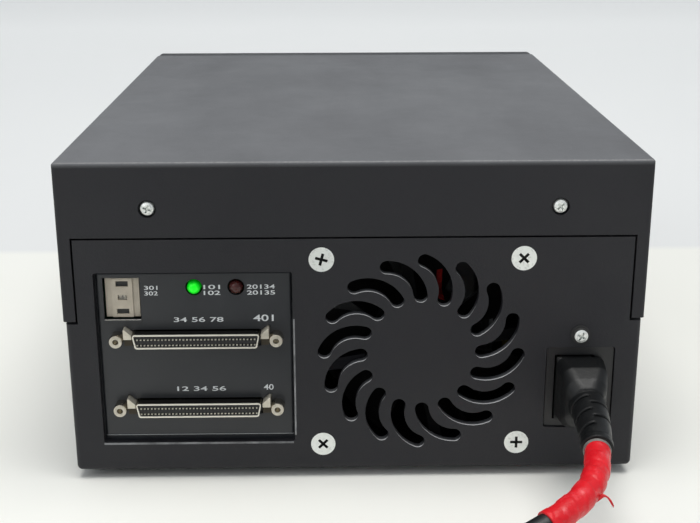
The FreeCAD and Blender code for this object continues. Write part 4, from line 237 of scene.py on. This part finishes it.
camera_data = bpy.data.cameras.new("camera")
camera_data.sensor_width = 36.0
camera_data.lens = 61.12
camera = bpy.data.objects.new("camera", camera_data)
rear_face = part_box("lower_shell")[0].y
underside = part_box("lower_shell")[0].z
camera.location = (camera_aside, rear_face - camera_back, underside + camera_rise)
look = Matrix.Rotation(math.radians(camera_pan), 4, "Z")
look = look @ Matrix.Rotation(math.radians(camera_tilt), 4, "X")
look = look @ Matrix.Rotation(math.radians(camera_roll), 4, "Z")
camera.rotation_euler = look.to_euler()
bpy.context.scene.collection.objects.link(camera)
bpy.context.scene.camera = camera
bpy.context.scene.view_settings.view_transform = "Standard"

# ---------------------------------------------------------------- case
# Two halves moulded in charcoal ABS with a fine spark texture, on rubber feet. The top is painted paler
# in patches, a painted sheen, and its rear edge, the window's rims and the up-facing walls of the
# grille's slots carry painted highlights. Zinc-plated screws hold it, pan-head in the cover and flush
# round the fan; the cross recesses of the flush screws are painted dark as painted shade.

case_low, case_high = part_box("upper_shell")
case_plastic = Finish("case_plastic", (24, 24, 29), (30, 30, 35), 0.56, patch=0.12)
case_plastic.feed("Specular IOR Level", 0.42)
edge_drop = 0.002               # the top's rounded edge
on_top = case_plastic.ramp(case_plastic.axis("Z"), case_high.z - edge_drop, case_high.z - edge_drop / 10)
# The top is painted paler in patches, a painted sheen where it catches the light.
top_sheen = case_plastic.noise(0.05, 0.7, 1, (1, 0.5, 1))
case_plastic.over(case_plastic.math("MULTIPLY", on_top, top_sheen), (106, 107, 110))
# A painted highlight in patches along the top's rear edge, where its rounded edge catches the light.
highlight_y = (case_low.y + 0.0003, case_low.y + 0.0008)
highlight_drop = 0.0006
rear_edge = case_plastic.zone(y=highlight_y, z=(case_high.z - highlight_drop, far))
edge_highlight = case_plastic.noise(0.0012, 0.15, 0.7, (1, 1, 1), 0.15)
case_plastic.over(case_plastic.math("MULTIPLY", rear_edge, edge_highlight), (136, 136, 136))
window_right_rim = {"x": (-0.0221, -0.0214), "z": (0.0175, 0.063)}
window_lower_rim = {"x": (-0.0923, -0.0225), "z": (0.0141, 0.0149)}
# Painted highlights along the window's right and lower rims, where the edges catch the light.
for rim in (window_right_rim, window_lower_rim):
    rim_highlight = case_plastic.math("MULTIPLY", case_plastic.zone(**rim), case_plastic.noise(0.006, 0.3, 1))
    case_plastic.over(rim_highlight, (150, 151, 153))
fan_low, fan_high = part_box("fan_rotor")
fan_middle = (fan_low + fan_high) / 2
fan_half = 0.04
wall_depth = 0.0040             # of the grille's slots
highlight_depth = 0.0007             # their outer edge, which gets a brighter painted highlight
grille_x = (fan_middle.x - fan_half, fan_middle.x + fan_half)
grille_z = (fan_middle.z - fan_half, fan_middle.z + fan_half)
# The up-facing walls of the grille's slots are painted lighter, as lit from above, brightest at their outer
# edge.
for deep, tone in ((wall_depth, (84, 85, 88)), (highlight_depth, (196, 197, 199))):
    walls = case_plastic.zone(grille_x, (case_low.y + 0.00002, case_low.y + deep), grille_z)
    case_plastic.over(case_plastic.math("MULTIPLY", walls, case_plastic.facing_up()), tone)
case_plastic.soften(0.0003).grain(0.0009, 0.00005).grain(0.00028, 0.000015)
case_plastic.wear("lower_shell", "upper_shell")

feet_rubber = Finish("feet_rubber", (24, 24, 25), (34, 34, 35), 0.8, patch=0.006)
feet_rubber.grain(0.0006, 0.00003).wear("rubber_feet")

screw_steel = Finish("screw_steel", (226, 229, 226), (240, 243, 239), 0.34, 0.5, patch=0.003)
screw_steel.over(screw_steel.noise(0.0011, -0.6, 0.35), (120, 118, 112), roughness=0.5)
fan_screws_end = 0.07           # the flush screws lie to one side of this, and below the next
fan_screws_top = 0.095
# The cross recesses of the flush fan screws are painted dark, as painted shade.
recess_shade = screw_steel.zone((-far, fan_screws_end), (case_low.y + 0.00005, far), (-far, fan_screws_top))
screw_steel.over(recess_shade, (34, 34, 33), roughness=0.7, metallic=0.3)
earth_low, earth_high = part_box("earth_screw")
earth_middle = (earth_low.x + earth_high.x) / 2, 0, (earth_low.z + earth_high.z) / 2
flat = screw_steel.add("VectorMath", {0: screw_steel.where, 1: (1, 0, 1)}, operation="MULTIPLY").outputs[0]
off_axis = screw_steel.add("VectorMath", {0: flat, 1: earth_middle}, operation="DISTANCE").outputs["Value"]
head_radius = 0.0024            # of the earth screw, which has a dark washer round it
washer_radius = 0.0050
washer = screw_steel.math("MULTIPLY", screw_steel.math("GREATER_THAN", off_axis, head_radius),
                          screw_steel.math("LESS_THAN", off_axis, washer_radius))
screw_steel.over(washer, (52, 52, 52), roughness=0.6, metallic=0.2)
screw_steel.grain(0.0004, 0.000006).wear("cover_screws", "fan_screws", "earth_screw", "drive_screws")

# ---------------------------------------------------------------- connector panel
# A folded steel plate with semi-gloss dark paint and white printed numbers, two shielded 68-way
# connectors in bright tin plate with black insulators, jack posts, spring ears, and two lamps.

plate_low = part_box("io_plate")[0]
plate_paint = Finish("plate_paint", (36, 38, 42), (42, 44, 48), 0.36, patch=0.02)
plate_face = -0.1348            # the flat of the plate, behind its switch ledge
window_x = (-0.0915, -0.0225)   # between the rounded ends of the bend
bend_height = 0.0052            # above the plate's lower edge
bend_width = 0.0006
bend_z = plate_low.z + bend_height
# A painted highlight along the plate's lower bend.
lower_bend_highlight = plate_paint.zone(x=window_x, z=(bend_z, bend_z + bend_width))
plate_paint.over(lower_bend_highlight, (190, 193, 196), roughness=0.3)
ledge_x = (-0.0895, -0.0757)
ledge_z = (0.0625, 0.0640)
# The ledge under the switch window is painted near white, a painted highlight where it faces up.
switch_ledge_highlight = plate_paint.zone(ledge_x, (-far, plate_low.y + 0.0004), ledge_z)
plate_paint.over(switch_ledge_highlight, (244, 241, 234), roughness=0.4)
plate_paint.soften(0.0002).grain(0.0016, 0.000012).grain(0.0003, 0.000004).wear("io_plate")

board_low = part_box("io_board")[0]
board_green = Finish("board_green", (18, 66, 42), (28, 84, 54), 0.4, patch=0.004)
board_green.over(board_green.zone(y=(board_low.y + 0.0017, far)), (30, 30, 32), roughness=0.6)
board_green.grain(0.0008, 0.00001).wear("io_board")

connector_metal = Finish("connector_metal", (188, 182, 168), (218, 211, 197), 0.2, 1.0, patch=0.004)
connector_metal.over(connector_metal.noise(0.0016, -0.7, 0.5), (128, 122, 108), roughness=0.36)
plated_front = connector_metal.zone(y=(-far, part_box("jack_screws")[0].y + 0.0004))
connector_metal.over(plated_front, roughness=0.4, metallic=0.5)
connector_metal.soften(0.00015).grain(0.0009, 0.000008).wear("jack_screws")
ear_metal = Finish("ear_metal", (196, 190, 176), (224, 218, 204), 0.34, 0.6, patch=0.004)
ear_drop = 0.006                # more than an ear's lower half
for shell in ("lower_connector_shell", "upper_connector_shell"):
    shell_low, shell_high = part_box(shell)
    row = (shell_low.z + shell_high.z) / 2
    # The lower half of each ear is painted darker, as painted shade.
    lower_half_shade = ear_metal.zone(z=(row - ear_drop, row))
    ear_metal.over(lower_half_shade, (66, 60, 50), roughness=0.5)
ear_metal.soften(0.00015).grain(0.0009, 0.000008).wear("latch_brackets")
shell_metal = Finish("shell_metal", (200, 196, 184), (222, 218, 206), 0.09, 1.0, patch=0.004)
# Up-facing surfaces of the shells are painted darker, a painted reflection of the dark plate.
shell_metal.over(shell_metal.facing_up(), (112, 108, 98))
# The front rim is painted paler, a painted highlight.
shell_rim_highlight = shell_metal.zone(y=(-far, shell_low.y + 0.0005))
shell_metal.over(shell_rim_highlight, (232, 228, 216), roughness=0.35, metallic=0.4)
shell_metal.grain(0.003, 0.000004).wear("lower_connector_shell", "upper_connector_shell")

insulator_black = Finish("insulator_black", (17, 17, 19), (25, 25, 27), 0.5, patch=0.003)
insulator_black.grain(0.0005, 0.00001).wear("lower_connector_insulator", "upper_connector_insulator")

contact_gold = Finish("contact_gold", (204, 200, 186), (226, 222, 208), 0.34, 0.5, patch=0.002)
contact_gold.grain(0.0003, 0.000004).wear("lower_connector_contacts", "upper_connector_contacts")


bright_core = 0.0008            # distances from the middle of a lens's face
glow_start = 0.001
lens_rim = 0.0026
glow_end = 0.003


def lamp_lens(name, node, rim, middle, glow):
    """A coloured dome, brighter in the middle when it is lit."""
    low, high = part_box(node)
    lens = Finish(name, rim, middle, 0.22, patch=0.0015)
    centre = ((low.x + high.x) / 2, low.y, (low.z + high.z) / 2)
    away = lens.add("VectorMath", {0: lens.where, 1: centre}, operation="DISTANCE").outputs["Value"]
    lens.feed("Emission Color", lens.blend(lens.ramp(away, bright_core, lens_rim),
                                          linear(middle), linear(rim)))
    lens.feed("Emission Strength", lens.add("MapRange", {
        "Value": away, "From Min": glow_start, "From Max": glow_end,
        "To Min": glow, "To Max": glow / 3}).outputs[0])
    lens.grain(0.0012, 0.00001).wear(node)


lamp_lens("led_green", "activity_led", (0, 150, 20), (2, 235, 24), 0.95)
lamp_lens("led_red", "fault_led", (44, 14, 12), (70, 22, 18), 0.03)

print_white = Finish("print_white", (200, 204, 206), (226, 229, 230), 0.6, patch=0.0012)
print_white.grain(0.0003, 0.000004)


def printed(name, text, left, low, width, height, face, finish=print_white, body="case"):
    """Flat numbers that face the rear, fitted into a rectangle on the plane y = face."""
    font = bpy.data.curves.new(name, "FONT")
    font.body = text
    font.offset = 0.012                    # a bolder stroke
    holder = bpy.data.objects.new(name, font)
    data = bpy.data.meshes.new_from_object(holder)
    bpy.data.objects.remove(holder)
    mesh = bmesh.new()
    mesh.from_mesh(data)
    xs = [v.co.x for v in mesh.verts]
    ys = [v.co.y for v in mesh.verts]
    for v in mesh.verts:
        across = (v.co.x - min(xs)) / (max(xs) - min(xs))
        up = (v.co.y - min(ys)) / (max(ys) - min(ys))
        v.co = (left + across * width, face, low + up * height)
    mesh.normal_update()
    data = bpy.data.meshes.new(name)
    mesh.to_mesh(data)
    mesh.free()
    data.materials.append(finish.material)
    piece = link(bpy.data.objects.new(name, data), body)
    return piece


print_face = plate_face - 0.00003           # the ink stands just proud
for name, text, left, low, width, height in (
    ("switch_mark_high", "301", -0.0748, 0.0737, 0.0048, 0.0015),
    ("switch_mark_low", "302", -0.0748, 0.0716, 0.0048, 0.0015),
    ("activity_mark_high", "101", -0.0537, 0.0738, 0.0059, 0.0016),
    ("activity_mark_low", "102", -0.0537, 0.0716, 0.0059, 0.0016),
    ("fault_mark_high", "20134", -0.0383, 0.0738, 0.0100, 0.0016),
    ("fault_mark_low", "20135", -0.0383, 0.0716, 0.0100, 0.0016),
    ("upper_mark", "34 56 78", -0.0648, 0.0614, 0.0178, 0.0018),
    ("lower_mark", "12 34 56", -0.0648, 0.0345, 0.0178, 0.0018),
    ("upper_side_mark", "401", -0.0363, 0.0615, 0.0073, 0.0025),
    ("lower_side_mark", "40", -0.0332, 0.0347, 0.0036, 0.0022),
):
    printed(name, text, left, low, width, height, print_face)

# ---------------------------------------------------------------- identity switch
# A push-wheel switch: a beige moulded housing, two dark keys above and below, and a white wheel
# whose printed digit shows in a small window.

switch_beige = Finish("switch_beige", (180, 170, 154), (198, 188, 172), 0.5, patch=0.004)
switch_beige.grain(0.0005, 0.00001).wear("id_switch_body")
key_dark = Finish("key_dark", (22, 20, 19), (32, 30, 29), 0.45, patch=0.002)
key_dark.grain(0.0004, 0.00001).wear("id_up_button", "id_down_button")
wheel_white = Finish("wheel_white", (206, 202, 190), (226, 222, 210), 0.45, patch=0.003)
wheel_white.grain(0.0005, 0.000008).wear("id_wheel")
digit_ink = Finish("digit_ink", (96, 93, 90), (116, 113, 110), 0.55, patch=0.001)
digit_ink.grain(0.0003, 0.000004)

wheel_low, wheel_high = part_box("id_wheel")
wheel_middle = (wheel_low + wheel_high) / 2
wheel_radius = (wheel_high.z - wheel_low.z) / 2
digit_height = 0.0013
digit_width = 0.0010
digits = 10
shown_digit = 6
for digit in range(digits):
    piece = printed("wheel_digit_%d" % digit, str((digit + shown_digit) % digits),
                    wheel_middle.x - digit_width / 2, wheel_middle.z - digit_height / 2,
                    digit_width, digit_height, wheel_middle.y - wheel_radius - 0.00004,
                    digit_ink, "id_wheel")
    turn = Matrix.Rotation(2 * math.pi * digit / digits, 4, "X")
    turn = Matrix.Translation(wheel_middle) @ turn
    piece.data.transform(turn @ Matrix.Translation(-wheel_middle))

# ---------------------------------------------------------------- fan
# An 80 mm brushless fan: black glass-filled frame, a rotor whose blades are moulded in a black
# plastic, a wound stator on its board, and two thin wires. Frame and rotor are painted darker than
# the plastic as painted shade inside the case, with one painted lit strut and a painted red
# reflection on a blade.

# The frame is painted darker than black plastic, as the shade inside the case; the left strut is painted
# lighter where the light reaches it.
fan_black = Finish("fan_black", (5, 5, 6), (8, 8, 9), 0.75, patch=0.008)
fan_black.feed("Specular IOR Level", 0.05)
lit_strut = fan_black.zone(x=(-far, fan_middle.x - 0.02), z=(fan_middle.z - 0.012, fan_middle.z + 0.008))
fan_black.over(lit_strut, (34, 34, 37))
fan_black.grain(0.0007, 0.00002).wear("fan_frame")
# The rotor is painted darker than black plastic too, as painted shade.
rotor_black = Finish("rotor_black", (7, 6, 6), (11, 9, 9), 0.6, patch=0.01)
rotor_black.feed("Specular IOR Level", 0.25)
# A painted red reflection in patches on one blade.
red_reflection = rotor_black.zone(x=(fan_middle.x + 0.0070, fan_middle.x + 0.0092),
                          z=(fan_high.z - 0.0225, fan_high.z - 0.0125))
rotor_black.over(rotor_black.math("MULTIPLY", red_reflection, rotor_black.noise(0.002, 0.1, 1)), (236, 54, 50))
rotor_black.grain(0.0007, 0.00002).wear("fan_rotor")
fan_winding = Finish("fan_winding", (138, 74, 38), (176, 102, 56), 0.35, 0.7, patch=0.003)
fan_winding.relief(fan_winding.add("TexWave", {
    "Vector": fan_winding.where, "Scale": 900.0, "Distortion": 1.5}, bands_direction="Y").outputs[0], 0.00008)
fan_winding.wear("fan_stator")

wire_insulation = Finish("wire_insulation", (34, 34, 36), (48, 48, 50), 0.45, patch=0.01)
wire_insulation.grain(0.002, 0.00002).wear("ac_leads", "dc_harness", "fan_lead")

# ---------------------------------------------------------------- inlet and power supply
# A black thermoplastic inlet with nickel-plated blades, and behind it an open-frame supply: a
# galvanised bracket, a paper-resin board, a transformer, a heat sink and sleeved capacitors.

inlet_black = Finish("inlet_black", (22, 22, 24), (31, 31, 33), 0.42, patch=0.008)
inlet_black.grain(0.0008, 0.00002).wear("inlet_body")
blade_nickel = Finish("blade_nickel", (186, 182, 170), (214, 210, 198), 0.28, 1.0, patch=0.003)
blade_nickel.over(blade_nickel.noise(0.002, -0.6, 0.5), (140, 130, 108), roughness=0.5)
blade_nickel.grain(0.0006, 0.000008).wear("inlet_blades", "mains_blades")

sheet_steel = Finish("sheet_steel", (150, 153, 156), (184, 187, 190), 0.4, 0.9, patch=0.007)
sheet_steel.grain(0.004, 0.000012).wear("psu_bracket", "drive_rails", "drive_cover")

supply_green = Finish("supply_green", (150, 128, 66), (168, 146, 80), 0.45, patch=0.006)
above_board = supply_green.zone(z=(0.0160, far))     # the headers
supply_green.over(above_board, (226, 222, 208), roughness=0.5)
supply_green.grain(0.001, 0.00001).wear("psu_board")

component_mix = Finish("component_mix", (26, 28, 34), (36, 38, 46), 0.4, patch=0.005)
transformer_y = (-0.0299, 0.0080)
winding_z = (0.0190, 0.0366)
core = component_mix.zone(y=transformer_y)
winding = component_mix.zone(y=transformer_y, z=winding_z)
heat_sink = component_mix.zone(x=(0.0890, far), y=(-0.0670, -0.0285))
film_capacitor = component_mix.zone(x=(-far, 0.0850), y=(-0.0780, -0.0640))
component_mix.over(core, (96, 92, 88), roughness=0.45, metallic=0.5)
component_mix.over(winding, (206, 168, 44), metallic=0.0)
component_mix.over(heat_sink, (176, 179, 182), roughness=0.35, metallic=0.9)
component_mix.over(film_capacitor, (214, 196, 60))
component_mix.grain(0.0009, 0.00001).wear("psu_parts")

# ---------------------------------------------------------------- tape drive
# A full-height cartridge drive on two folded rails: a die-cast frame under a sheet lid, reels and
# rollers in acetal, a polished head block, its own board and a flat ribbon cable.

cast_aluminium = Finish("cast_aluminium", (140, 143, 146), (168, 171, 174), 0.52, 0.85, patch=0.01)
cast_aluminium.grain(0.0012, 0.00005).wear("drive_chassis", "reel_motors")
drive_green = Finish("drive_green", (18, 66, 42), (28, 84, 54), 0.4, patch=0.004)
drive_green.over(drive_green.zone(z=(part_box("drive_board")[0].z + 0.0017, far)), (28, 28, 30), roughness=0.6)
drive_green.grain(0.0008, 0.00001).wear("drive_board")
reel_plastic = Finish("reel_plastic", (186, 186, 180), (204, 204, 198), 0.42, patch=0.006)
reel_plastic.grain(0.0008, 0.00001).wear("take_up_reel", "supply_clutch", "guide_roller_left",
                                        "guide_roller_right")
tray_plastic = Finish("tray_plastic", (38, 39, 42), (48, 49, 52), 0.5, patch=0.01)
tray_plastic.grain(0.0008, 0.00002).wear("cartridge_tray")
head_metal = Finish("head_metal", (176, 172, 164), (204, 200, 192), 0.16, 1.0, patch=0.003)
head_metal.grain(0.001, 0.000004, (1, 1, 8)).wear("tape_head")
ribbon_grey = Finish("ribbon_grey", (158, 160, 164), (172, 174, 178), 0.5, patch=0.02)
ribbon_grey.relief(ribbon_grey.add("TexWave", {"Vector": ribbon_grey.where, "Scale": 250.0},
                                   bands_direction="X").outputs[0], 0.0001)
ribbon_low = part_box("ribbon_cable")[0]
ribbon_grey.over(ribbon_grey.zone(x=(-far, ribbon_low.x + 0.0009)), (170, 40, 36)).wear("ribbon_cable")

# ---------------------------------------------------------------- front
# The front bezel, the drive's own bezel and its cartridge door are smoother mouldings in the
# case's colour, with a grey eject button, amber and green lenses and a black rocker switch.

bezel_plastic = Finish("bezel_plastic", (50, 51, 54), (58, 59, 62), 0.5, patch=0.03)
bezel_plastic.grain(0.0008, 0.00004).wear("front_bezel")
drive_front = Finish("drive_front", (34, 35, 37), (42, 43, 45), 0.48, patch=0.02)
drive_front.grain(0.0007, 0.00003).wear("drive_bezel", "cartridge_door")
button_grey = Finish("button_grey", (118, 120, 122), (132, 134, 136), 0.48, patch=0.004)
button_grey.grain(0.0006, 0.00001).wear("eject_button")
rocker_black = Finish("rocker_black", (20, 20, 22), (29, 29, 31), 0.36, patch=0.006)
rocker_black.grain(0.0009, 0.00001).wear("power_rocker", "switch_body")
lens_clear = Finish("lens_clear", (158, 96, 24), (186, 120, 36), 0.2, patch=0.002)
lens_middle = (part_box("indicator_lenses")[0].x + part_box("indicator_lenses")[1].x) / 2
lens_clear.over(lens_clear.zone(x=(-far, lens_middle)), (40, 120, 52)).grain(0.001, 0.000008)
lens_clear.wear("indicator_lenses")

# ---------------------------------------------------------------- plug and mains cord
# A moulded black PVC plug and a round lead with the same soft sheath. The lead falls to the table,
# and the length that isn't used is wound into a coil of two layers, held by a strap.

cord_diameter = 0.0075
cord_start = [
    (0.0789, -0.1830, 0.0334), (0.0770, -0.1948, 0.0322), (0.0714, -0.2060, 0.0304),
    (0.0625, -0.2155, 0.0284), (0.0510, -0.2225, 0.0256), (0.0385, -0.2275, 0.0213),
    (0.0260, -0.2315, 0.0154), (0.0135, -0.2345, 0.0096), (0.0000, -0.2365, 0.0054),
    (-0.0120, -0.2370, 0.0038),
]
cord_end = [
    (-0.0390, -0.2437, 0.0116), (-0.0529, -0.2517, 0.0117), (-0.0655, -0.2616, 0.0119),
    (-0.0747, -0.2734, 0.0121), (-0.0800, -0.2864, 0.0124), (-0.0817, -0.2983, 0.0124),
]
coil_middle = (-0.014, -0.287)
turn_radii = [0.050, 0.0425, 0.035, 0.035, 0.0425, 0.050]
points_per_turn = 24
layer_heights = (0.0038, 0.0114)

cord_rubber = Finish("cord_rubber", (21, 22, 24), (30, 31, 33), 0.42, patch=0.012)
cord_rubber.over(cord_rubber.noise(0.004, -0.9, 0.4), (58, 58, 60), roughness=0.6)
cord_rubber.grain(0.0012, 0.00003).wear("power_cord", "cord_coil", "cord_tail")
plug_rubber = Finish("plug_rubber", (13, 14, 15), (19, 20, 21), 0.42, patch=0.012)
plug_rubber.feed("Specular IOR Level", 0.35)
plug_rubber.soften(0.0012).grain(0.0012, 0.00003).wear("cord_plug", "mains_plug")


def smooth_step(start, end, share):
    share = min(max(share, 0.0), 1.0)
    return start + (end - start) * share * share * (3 - 2 * share)


def coil_points():
    """Each turn begins by moving over to its own radius; the cord climbs at the end of the third."""
    points = []
    spread = 1 / math.cos(math.pi / points_per_turn)
    total = len(turn_radii) * points_per_turn + 2
    for i in range(2, total + 1):
        turn = min((i - 1) // points_per_turn, len(turn_radii) - 1)
        share = (i - turn * points_per_turn) / (points_per_turn / 6)
        radius = smooth_step(turn_radii[max(turn - 1, 0)], turn_radii[turn], share) * spread
        height = smooth_step(*layer_heights, (i - 3 * points_per_turn + 4) / 4)
        angle = math.radians(90) + 2 * math.pi * i / points_per_turn
        points.append((coil_middle[0] + radius * math.cos(angle),
                       coil_middle[1] + radius * math.sin(angle), height))
    return points


def nurbs_line(name, route, bevel=0.0):
    line = bpy.data.curves.new(name, "CURVE")
    line.dimensions = "3D"
    spline = line.splines.new("NURBS")
    spline.points.add(len(route) - 1)
    for point, place in zip(spline.points, route):
        point.co = (*place, 1)
    spline.order_u = 3
    spline.use_endpoint_u = True
    spline.resolution_u = 6
    line.bevel_depth = bevel
    line.bevel_resolution = 6
    line.use_fill_caps = True
    return line


cord_route = cord_start + coil_points()[:-1] + cord_end
mains_cord = bpy.data.objects.new("mains_cord", nurbs_line("mains_cord", cord_route, cord_diameter / 2))
mains_cord.data.materials.append(cord_rubber.material)
link(mains_cord, "case")
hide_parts("power_cord", "cord_coil", "cord_tail")

# ---------------------------------------------------------------- red tape
# Glossy red vinyl tape wound round the first part of the lead by hand, in laps that overlap, with
# small wrinkles. Its loose end lifts a little where it was torn.

tape_thickness = 0.00035
tape_lap = 0.0090               # one lap along the cord
tape_sides = 40
tape_step = 0.0004
tape_x_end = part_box("red_tape")[0].x + 0.0025
tape_sink = 0.0002              # the ends close just inside the cord
tape_edge_lift = 0.0002         # a lap's edge stands up
tape_crease = 0.0001
crease_size = 0.004
crease_scale = 420

tape_red = Finish("tape_red", (204, 18, 30), (224, 32, 42), 0.34, patch=0.006)
tape_red.feed("Specular IOR Level", 0.35)
tape_red.over(tape_red.noise(0.0035, -1.1, 0.5, spread=0.2), (232, 84, 92), roughness=0.16)
tape_red.grain(0.0022, 0.00012, (1, 1, 2)).grain(0.0006, 0.00003)


def line_points(route, step):
    """Points at equal steps along the smooth line through a route."""
    holder = bpy.data.objects.new("line", nurbs_line("line", route))
    data = bpy.data.meshes.new_from_object(holder)
    places = [v.co.copy() for v in data.vertices]
    bpy.data.objects.remove(holder)
    points, left = [places[0]], step
    for a, b in zip(places, places[1:]):
        run = (b - a).length
        while left <= run:
            points.append(a.lerp(b, left / run))
            left += step
        left -= run
    return points


tape_line = [p for p in line_points(cord_start, tape_step) if p.x > tape_x_end]
mesh = bmesh.new()
rings = []
for i, point in enumerate(tape_line):
    ahead = (tape_line[min(i + 1, len(tape_line) - 1)] - tape_line[max(i - 1, 0)]).normalized()
    side = ahead.cross(Vector((0, 0, 1))).normalized()
    up = side.cross(ahead)
    ring = []
    for k in range(tape_sides):
        angle = 2 * math.pi * k / tape_sides
        lap = (i * tape_step / tape_lap - k / tape_sides) % 1.0
        lift = tape_thickness * (1.0 + 0.75 * (lap > 0.5)) + tape_edge_lift * max(0.0, 0.08 - lap) / 0.08
        way = side * math.cos(angle) + up * math.sin(angle)
        spot = Vector((i * tape_step, math.cos(angle) * crease_size, math.sin(angle) * crease_size))
        crease = noise.noise(spot * crease_scale)
        ring.append(mesh.verts.new(point + way * (cord_diameter / 2 + lift + tape_crease * crease)))
    rings.append(ring)
for ring, after in zip(rings, rings[1:]):
    for k in range(tape_sides):
        mesh.faces.new([ring[k - 1], ring[k], after[k], after[k - 1]])
for ring, point in ((rings[0], tape_line[0]), (rings[-1], tape_line[-1])):
    inner = [mesh.verts.new(point + (v.co - point).normalized() * (cord_diameter / 2 - tape_sink))
             for v in ring]
    for k in range(tape_sides):
        mesh.faces.new([ring[k], ring[k - 1], inner[k - 1], inner[k]])
red_tape = mesh_piece("tape_wrap", mesh, tape_red, "case")
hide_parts("red_tape")

# A grey sheath shows as a thin ring where the lead leaves the boot.
ring_radius = cord_diameter / 2 + 0.0010
ring_taper = 0.0003
ring_depth = 0.0011
ring_bevel = 0.0002
ring_grey = Finish("ring_grey", (96, 94, 92), (124, 122, 118), 0.5, patch=0.002)
ring_grey.grain(0.0006, 0.00004)
mesh = bmesh.new()
start = tape_line[2]
heading = (tape_line[4] - start).to_track_quat("Z", "Y").to_matrix().to_4x4()
bmesh.ops.create_cone(mesh, cap_ends=True, segments=48, radius1=ring_radius,
                      radius2=ring_radius - ring_taper, depth=ring_depth,
                      matrix=Matrix.Translation(start) @ heading)
rim_edges = [e for e in mesh.edges
             if len(e.link_faces) == 2 and any(len(f.verts) > 4 for f in e.link_faces)]
bmesh.ops.bevel(mesh, geom=rim_edges, offset=ring_bevel, segments=2, profile=0.5,
                affect="EDGES", material=-1)
mesh_piece("sheath_ring", mesh, ring_grey, "case")

# The torn end: a narrow strip that curls off the side of the tape.
torn_distance = 0.0265          # along the tape
torn_steps = 13
torn_half_thick = 0.0001
torn_at = tape_line[int(torn_distance / tape_step)]
mesh = bmesh.new()
torn = []
for i in range(torn_steps + 1):
    t = i / torn_steps
    height = -0.0016 + 0.0022 * math.sin(3.4 * t) - 0.0012 * t
    place = torn_at + Vector((0.0040 + 0.0052 * t, -0.001 * t, height))
    half_wide = 0.0008 * (1 - 0.55 * t) + 0.00025 * math.sin(9 * t)
    torn.append([mesh.verts.new(place + Vector((0, dy, dz))) for dy, dz in (
        (-torn_half_thick, half_wide), (-torn_half_thick, -half_wide),
        (torn_half_thick, -half_wide), (torn_half_thick, half_wide))])
for a, b in zip(torn, torn[1:]):
    for k in range(4):
        mesh.faces.new([a[k - 1], a[k], b[k], b[k - 1]])
mesh.faces.new(torn[0])
mesh.faces.new(torn[-1][::-1])
mesh_piece("torn_tape", mesh, tape_red, "case")

# ---------------------------------------------------------------- coil strap
# A narrow black hook-and-loop strap pulled tight round both layers of the coil.

strap_angle = math.radians(215)
strap_slack = 0.0004            # beside the turns
strap_lift = 0.0002             # over them
corner_steps = 6
strap_width = 0.009
strap_thickness = 0.0006
strap_paint = Finish("strap_paint", (26, 26, 28), (40, 40, 42), 0.9, patch=0.003)
strap_paint.grain(0.0005, 0.00012)
out = Vector((math.cos(strap_angle), math.sin(strap_angle), 0))
along = Vector((-out.y, out.x, 0))
middle = Vector((*coil_middle, 0)) + out * (turn_radii[0] + turn_radii[2]) / 2
half_across = (turn_radii[0] - turn_radii[2]) / 2 + cord_diameter / 2 + strap_slack
strap_top = layer_heights[1] + cord_diameter / 2 + strap_lift
corner_points = []
for sx, sz, start in ((1, 1, 0), (-1, 1, 90), (-1, -1, 180), (1, -1, 270)):
    radius = cord_diameter / 2
    for k in range(corner_steps + 1):
        angle = math.radians(start + 90 * k / corner_steps)
        corner_points.append((
            sx * (half_across - radius) + radius * math.cos(angle),
            (strap_top - radius if sz > 0 else radius + 0.0001) + radius * math.sin(angle),
            math.cos(angle), math.sin(angle),
        ))
mesh = bmesh.new()
loops = []
for across, height, nx, nz in corner_points:
    loop = []
    for lift, edge in ((0, -1), (strap_thickness, -1), (strap_thickness, 1), (0, 1)):
        low_share = lift if height > cord_diameter / 2 else 0.0
        loop.append(mesh.verts.new(middle + out * (across + nx * lift) + along * edge * strap_width / 2
                                   + Vector((0, 0, height + nz * low_share))))
    loops.append(loop)
for i, loop in enumerate(loops):
    after = loops[(i + 1) % len(loops)]
    for k in range(4):
        mesh.faces.new([loop[k], loop[k - 3], after[k - 3], after[k]])
strap = mesh_piece("coil_strap", mesh, strap_paint, "case", smooth=False)
